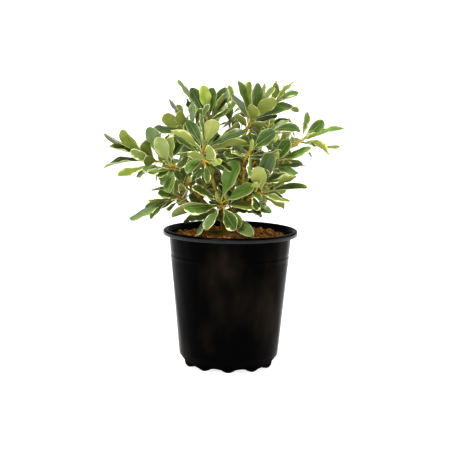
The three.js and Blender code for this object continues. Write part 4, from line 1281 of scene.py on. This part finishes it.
def ring_tree():
    """Copies of a sector turned round the axis and welded into a ring"""
    nodes, sizes = shape_tree("ring", Count="Int", Weld="Float", Material="Material")
    spots = nodes.add("GeometryNodeMeshLine", {"Count": sizes["Count"], "Offset": (0, 0, 0)})
    number = nodes.add("GeometryNodeInputIndex")
    share = nodes.math("DIVIDE", number[0], sizes["Count"])
    turn = nodes.add("ShaderNodeCombineXYZ", {2: nodes.math("MULTIPLY", share, 2 * math.pi)})
    placed = nodes.add("GeometryNodeInstanceOnPoints", {
        "Points": spots[0], "Instance": sizes["Geometry"], "Rotation": turn[0]})
    real = nodes.add("GeometryNodeRealizeInstances", {"Geometry": placed["Instances"]})
    welded = nodes.add("GeometryNodeMergeByDistance", {"Geometry": real[0], "Distance": sizes["Weld"]})
    return end_tree(nodes, welded[0], sizes["Material"])


def shell_material(x, y, height):
    """The name of the shell's material at a place"""
    if POT_HEIGHT - LIP_DROP - 1 < height < POT_HEIGHT - 2 and math.hypot(x, y) > LIP_RADIUS - 1.2:
        return "lip"
    return "foot" if height < HEEL_HEIGHT - 1 else "pot"


def drilled(shell):
    """The shell with its drain holes cut out"""
    profile = [(0, 0), (DRAIN_RADIUS, 0), (DRAIN_RADIUS, DRILL_LENGTH), (0, DRILL_LENGTH)]
    drill = lathe("drill", profile, DRILL_SEGMENTS)
    piece = bpy.data.objects.new("pot_shell", shell)
    bpy.context.collection.objects.link(piece)
    holes = []
    for number in range(DRAIN_HOLES):
        turn = 2 * math.pi * number / DRAIN_HOLES + math.pi / 2
        place = (DRAIN_RING * math.cos(turn), DRAIN_RING * math.sin(turn), DRILL_START)
        hole = bpy.data.objects.new("drain_hole", drill.copy())
        hole.data.transform(Matrix.Translation([value * MM for value in place]))
        bpy.context.collection.objects.link(hole)
        cut = piece.modifiers.new("drain_hole", "BOOLEAN")
        cut.object, cut.operation, cut.solver = hole, "DIFFERENCE", "EXACT"
        holes.append(hole)
    depsgraph = bpy.context.evaluated_depsgraph_get()
    mesh = bpy.data.meshes.new_from_object(piece.evaluated_get(depsgraph), depsgraph=depsgraph)
    for done in [piece, *holes]:
        bpy.data.objects.remove(done)
    return mesh


def make_pot():
    """The pot's turned shell, and the ring of scallops under it"""
    shell = lathe("pot_shell", pot_profile(), POT_SEGMENTS, WALL_WOBBLE)
    for name in SHELL_MATERIALS:
        shell.materials.append(materials[name])
    for face in shell.polygons:
        face.material_index = SHELL_MATERIALS.index(shell_material(*(face.center / MM)))
    shell = drilled(shell)
    shell.set_sharp_from_angle(angle=math.radians(SHELL_CREASE))
    piece_of("pot_shell", shell, ["pot"])
    feet = grown("pot_feet", foot_sector(), ring_tree(),
                 Count=LOBES, Weld=0.01 * MM, Material=materials["foot"])
    feet.transform(Matrix.Rotation(SCALLOP_TO_FRONT, 4, "Z"))
    piece_of("pot_feet", feet, ["pot"])


# The potting mix

MIX_RINGS = 34
MIX_SEGMENTS = 96
BARE_RINGS = 3  # the outer rings that nothing is strewn on
# Waves over the mix: how fast each rises across and towards the back, and where it starts
MOUNDS = (
    (0.11, 0.07, 0.5), (-0.16, 0.19, 2.1), (0.31, -0.24, 0.9), (0.05, 0.42, 4.0), (0.53, 0.37, 1.3),
)
MOUND_SHARE = 0.9
LEVEL_RADIUS = 6  # how far the mix is level round the trunk
EDGE_POWER = 4
GROUND_DROP = 0.5  # how far the ground lies under the solid's top, for what is strewn on it
GROUND_SPREAD = 0.6  # how much nearer it goes to the pot's wall
STREWN_GRAIN = 420.0
STREWN_TILT = 0.7
STREWN_TURN = 6.28
STREWN_SIZES = (0.5, 1.35)
SIZES_SEED = 7
# What lies on the mix: how many to the square metre, and their length, width, height and
# ruggedness in millimetres
STREWN = {
    "chips": (42000, 5.4, 3.4, 1.7, 2.4),
    "crumbs": (150000, 2.3, 1.6, 1.2, 1.3),
    "fibre": (30000, 9.0, 0.5, 0.4, 3.0),
    "moss": (400000, 4.2, 1.8, 3.4, 2.4),
}
MOSS = (-17, 10, 12)  # the middle and radius of a mossy patch


def mix_height(x, y):
    """The height of the mix, with low mounds all over it but level round the trunk"""
    relief = sum(np.sin(a * x + b * y + start) / (1 + 4 * abs(a)) for a, b, start in MOUNDS)
    from_trunk = np.hypot(x - TRUNK_FOOT[0], y - TRUNK_FOOT[1])
    calm = np.clip((from_trunk - LEVEL_RADIUS) / MIX_FLAT, 0, 1)
    drop = MIX_EDGE_DROP * (np.hypot(x, y) / MOUTH_RADIUS) ** EDGE_POWER
    return MIX_LEVEL + MOUND_SHARE * MIX_RELIEF * relief * calm - drop - GROUND_DROP


def mix_meshes():
    """The whole body of the mix, and its open top alone for what lies on it"""
    inset = POT_WALL + GAP + MIX_INSET - GROUND_SPREAD
    edge = wall_radius(MIX_LEVEL - MIX_EDGE_DROP) - inset
    turns = np.linspace(0, 2 * math.pi, MIX_SEGMENTS, endpoint=False)
    pairs = [(j, (j + 1) % MIX_SEGMENTS) for j in range(MIX_SEGMENTS)]
    points = [(0, 0, float(mix_height(0, 0)))]
    for ring in range(1, MIX_RINGS + 1):
        x, y = edge * ring / MIX_RINGS * np.cos(turns), edge * ring / MIX_RINGS * np.sin(turns)
        points += list(zip(x, y, mix_height(x, y)))
    faces = [(0, 1 + j, 1 + k) for j, k in pairs]

    def band(low, high):
        """Faces between two rings, the second one outside or under the first"""
        return [(low + j, high + j, high + k, low + k) for j, k in pairs]

    for ring in range(MIX_RINGS - 1):
        faces += band(1 + ring * MIX_SEGMENTS, 1 + (ring + 1) * MIX_SEGMENTS)
    inner = MIX_RINGS - BARE_RINGS
    top = mesh_of("mix_top", points[:1 + inner * MIX_SEGMENTS], faces[:inner * MIX_SEGMENTS])
    sides = (
        (wall_radius(BAND_HEIGHT) - BAND_STEP, BAND_HEIGHT), (WALL_FOOT_RADIUS, WALL_FOOT_HEIGHT),
        (CHAMFER_RADIUS, FLOOR_TOP + GAP + 1.2),
    )
    for wall, height in sides:
        radius = wall - inset
        faces += band(len(points) - MIX_SEGMENTS, len(points))
        points += [(radius * math.cos(turn), radius * math.sin(turn), height) for turn in turns]
    last = len(points) - MIX_SEGMENTS
    points.append((0, 0, FLOOR_TOP + GAP))
    faces += [(last + k, last + j, len(points) - 1) for j, k in pairs]
    return mesh_of("mix_ground", points, faces), top


def scatter_tree():
    """Small lumps strewn over a surface, each of its own size, turn and shape"""
    nodes, sizes = shape_tree("strewn", Density="Float", Length="Float", Width="Float", Height="Float",
                              Ruggedness="Float", Seed="Int", Material="Material")
    spots = nodes.add("GeometryNodeDistributePointsOnFaces", {
        "Mesh": sizes["Geometry"], "Density": sizes["Density"], "Seed": sizes["Seed"]})
    size = nodes.add("ShaderNodeCombineXYZ", {0: sizes["Length"], 1: sizes["Width"], 2: sizes["Height"]})
    lump = nodes.add("GeometryNodeMeshCube", {
        "Size": size[0], "Vertices X": 4, "Vertices Y": 3, "Vertices Z": 2})
    tilt = nodes.add("FunctionNodeRandomValue", {
        0: (-STREWN_TILT, -STREWN_TILT, 0.0), 1: (STREWN_TILT, STREWN_TILT, STREWN_TURN),
        "Seed": sizes["Seed"]}, data_type="FLOAT_VECTOR")
    turn = nodes.add("FunctionNodeEulerToRotation", {0: tilt[0]})
    least, most = STREWN_SIZES
    grow = nodes.add("FunctionNodeRandomValue", {
        0: (least, least, least), 1: (most, most, most), "Seed": SIZES_SEED}, data_type="FLOAT_VECTOR")
    strewn = nodes.add("GeometryNodeInstanceOnPoints", {
        "Points": spots["Points"], "Instance": lump["Mesh"], "Rotation": turn[0], "Scale": grow[0]})
    real = nodes.add("GeometryNodeRealizeInstances", {"Geometry": strewn["Instances"]})
    place = nodes.add("GeometryNodeInputPosition")
    rough = nodes.add("ShaderNodeTexNoise", {"Vector": place[0], "Scale": STREWN_GRAIN, "Detail": 2.0})
    level = nodes.vector("SUBTRACT", {0: rough["Color"], 1: (0.5, 0.5, 0.5)})
    offset = nodes.vector("SCALE", {0: level, "Scale": sizes["Ruggedness"]})
    uneven = nodes.add("GeometryNodeSetPosition", {"Geometry": real[0], "Offset": offset})
    flat = nodes.add("GeometryNodeSetShadeSmooth", {"Geometry": uneven[0], "Shade Smooth": False})
    return end_tree(nodes, flat[0], sizes["Material"])


def mossy(top):
    """The faces of the mix's top that lie in the mossy patch"""
    x, y, radius = MOSS
    points = [vertex.co / MM for vertex in top.vertices]
    faces = [tuple(face.vertices) for face in top.polygons
             if math.hypot(face.center.x / MM - x, face.center.y / MM - y) < radius]
    return mesh_of("mossy", points, faces)


def make_mix():
    """The ground of the mix and all that is strewn on it"""
    ground, top = mix_meshes()
    ground.materials.append(materials["ground"])
    piece_of("mix_ground", ground, ["potting_mix"])
    tree = scatter_tree()
    for number, (name, (density, *lengths)) in enumerate(STREWN.items()):
        length, width, height, rugged = (value * MM for value in lengths)
        under = mossy(top) if name == "moss" else top.copy()
        mesh = grown("mix_" + name, under, tree, Density=float(density), Length=length, Width=width,
                     Height=height, Ruggedness=rugged, Seed=number, Material=materials[name])
        piece_of("mix_" + name, mesh, ["potting_mix"])


# The stage

EYE = (-6.9, -2400, 508)
TARGET = (-6.9, 0, 175)
ROLL = 1.0
LENS = 157.6
SENSOR = 36
NEAREST, FARTHEST = 0.1, 50
FLOOR_REACH = 40.0
FLOOR_GREY = (195.68, 195.68, 195.68)
FLOOR_GLOW = 0.72
SKY_COLOUR = (0.97, 0.985, 1, 1)
SKY_STRENGTH = 0.38
# Each light with the place that it shines from, how wide it is in degrees and its strength
LIGHTS = {"key": ((-0.35, -0.55, 1.0), 24, 3.0), "fill": ((0.8, 0.5, 0.9), 60, 0.6)}


def make_camera():
    """The camera as it stood for the photograph, rolled a little"""
    eye, target = Vector(EYE) * MM, Vector(TARGET) * MM
    forward = (target - eye).normalized()
    level = Vector((1, 0, 0))
    upward = level.cross(forward)
    roll = math.radians(ROLL)
    right = level * math.cos(roll) + upward * math.sin(roll)
    top = upward * math.cos(roll) - level * math.sin(roll)
    data = bpy.data.cameras.new("camera")
    data.lens, data.sensor_width = LENS, SENSOR
    data.clip_start, data.clip_end = NEAREST, FARTHEST
    camera = bpy.data.objects.new("camera", data)
    camera.matrix_world = Matrix.Translation(eye) @ Matrix((right, top, -forward)).transposed().to_4x4()
    bpy.context.collection.objects.link(camera)
    bpy.context.scene.camera = camera


def soft_sun(name, place, spread_angle, strength):
    """A distant light shining from a place towards the plant, as soft as it is wide"""
    data = bpy.data.lights.new(name, "SUN")
    data.energy, data.angle = strength, math.radians(spread_angle)
    light = bpy.data.objects.new(name, data)
    light.rotation_euler = Vector(place).to_track_quat("Z", "Y").to_euler()
    light.location = place
    bpy.context.collection.objects.link(light)


def make_floor():
    """A pale floor that glows, so that it stays white round the pot"""
    side = FLOOR_REACH
    mesh = bpy.data.meshes.new("floor")
    corners = [(-side, -side, 0), (side, -side, 0), (side, side, 0), (-side, side, 0)]
    mesh.from_pydata(corners, [], [(0, 1, 2, 3)])
    mesh.materials.append(finish("floor", FLOOR_GREY, grain=(3.0, 3.0), rough=(0.6, 0.7), sockets={
        "Emission Color": (1, 1, 1, 1), "Emission Strength": FLOOR_GLOW}))
    floor = bpy.data.objects.new("floor", mesh)
    bpy.context.collection.objects.link(floor)


def make_stage():
    """The floor, an even pale sky and the lights"""
    make_floor()
    world = bpy.data.worlds.new("studio")
    world.use_nodes = True
    nodes = Nodes(world.node_tree)
    light = nodes.add("ShaderNodeBackground", {"Color": SKY_COLOUR, "Strength": SKY_STRENGTH})
    nodes.add("ShaderNodeOutputWorld", {"Surface": light[0]})
    bpy.context.scene.world = world
    for name, (place, spread_angle, strength) in LIGHTS.items():
        soft_sun(name, place, spread_angle, strength)
    bpy.context.scene.view_settings.view_transform = "Standard"
    bpy.context.scene.view_settings.look = "Medium High Contrast"


# The whole scene

plant_limbs = grow_limbs()
plant_masses = {name: grow_shoots(bough, rows, plant_limbs) for name, (bough, rows) in MASSES.items()}
plant_leaves = grow_leaves(plant_limbs, plant_masses)
plant_sprigs = {mass: grow_sprigs(plant_limbs[bough], shares, turn)
                for bough, (mass, shares, turn) in SPRIGS.items()}
sprig_leaves = grow_leaves(plant_limbs, plant_sprigs, plant_leaves)
# The leaves of sprigs are full-grown, so they are coloured like those outside a whorl
for leaf in sprig_leaves:
    leaf["share"] = 1
plant_leaves += sprig_leaves
for mass, sprigs in plant_sprigs.items():
    plant_masses[mass] += sprigs
limb_shape = limb_tree()
make_bark(limb_shape, plant_limbs)
make_twigs(limb_shape, plant_masses, plant_leaves)
make_leaves(plant_masses, plant_leaves)
make_pot()
make_mix()
make_stage()
make_camera()
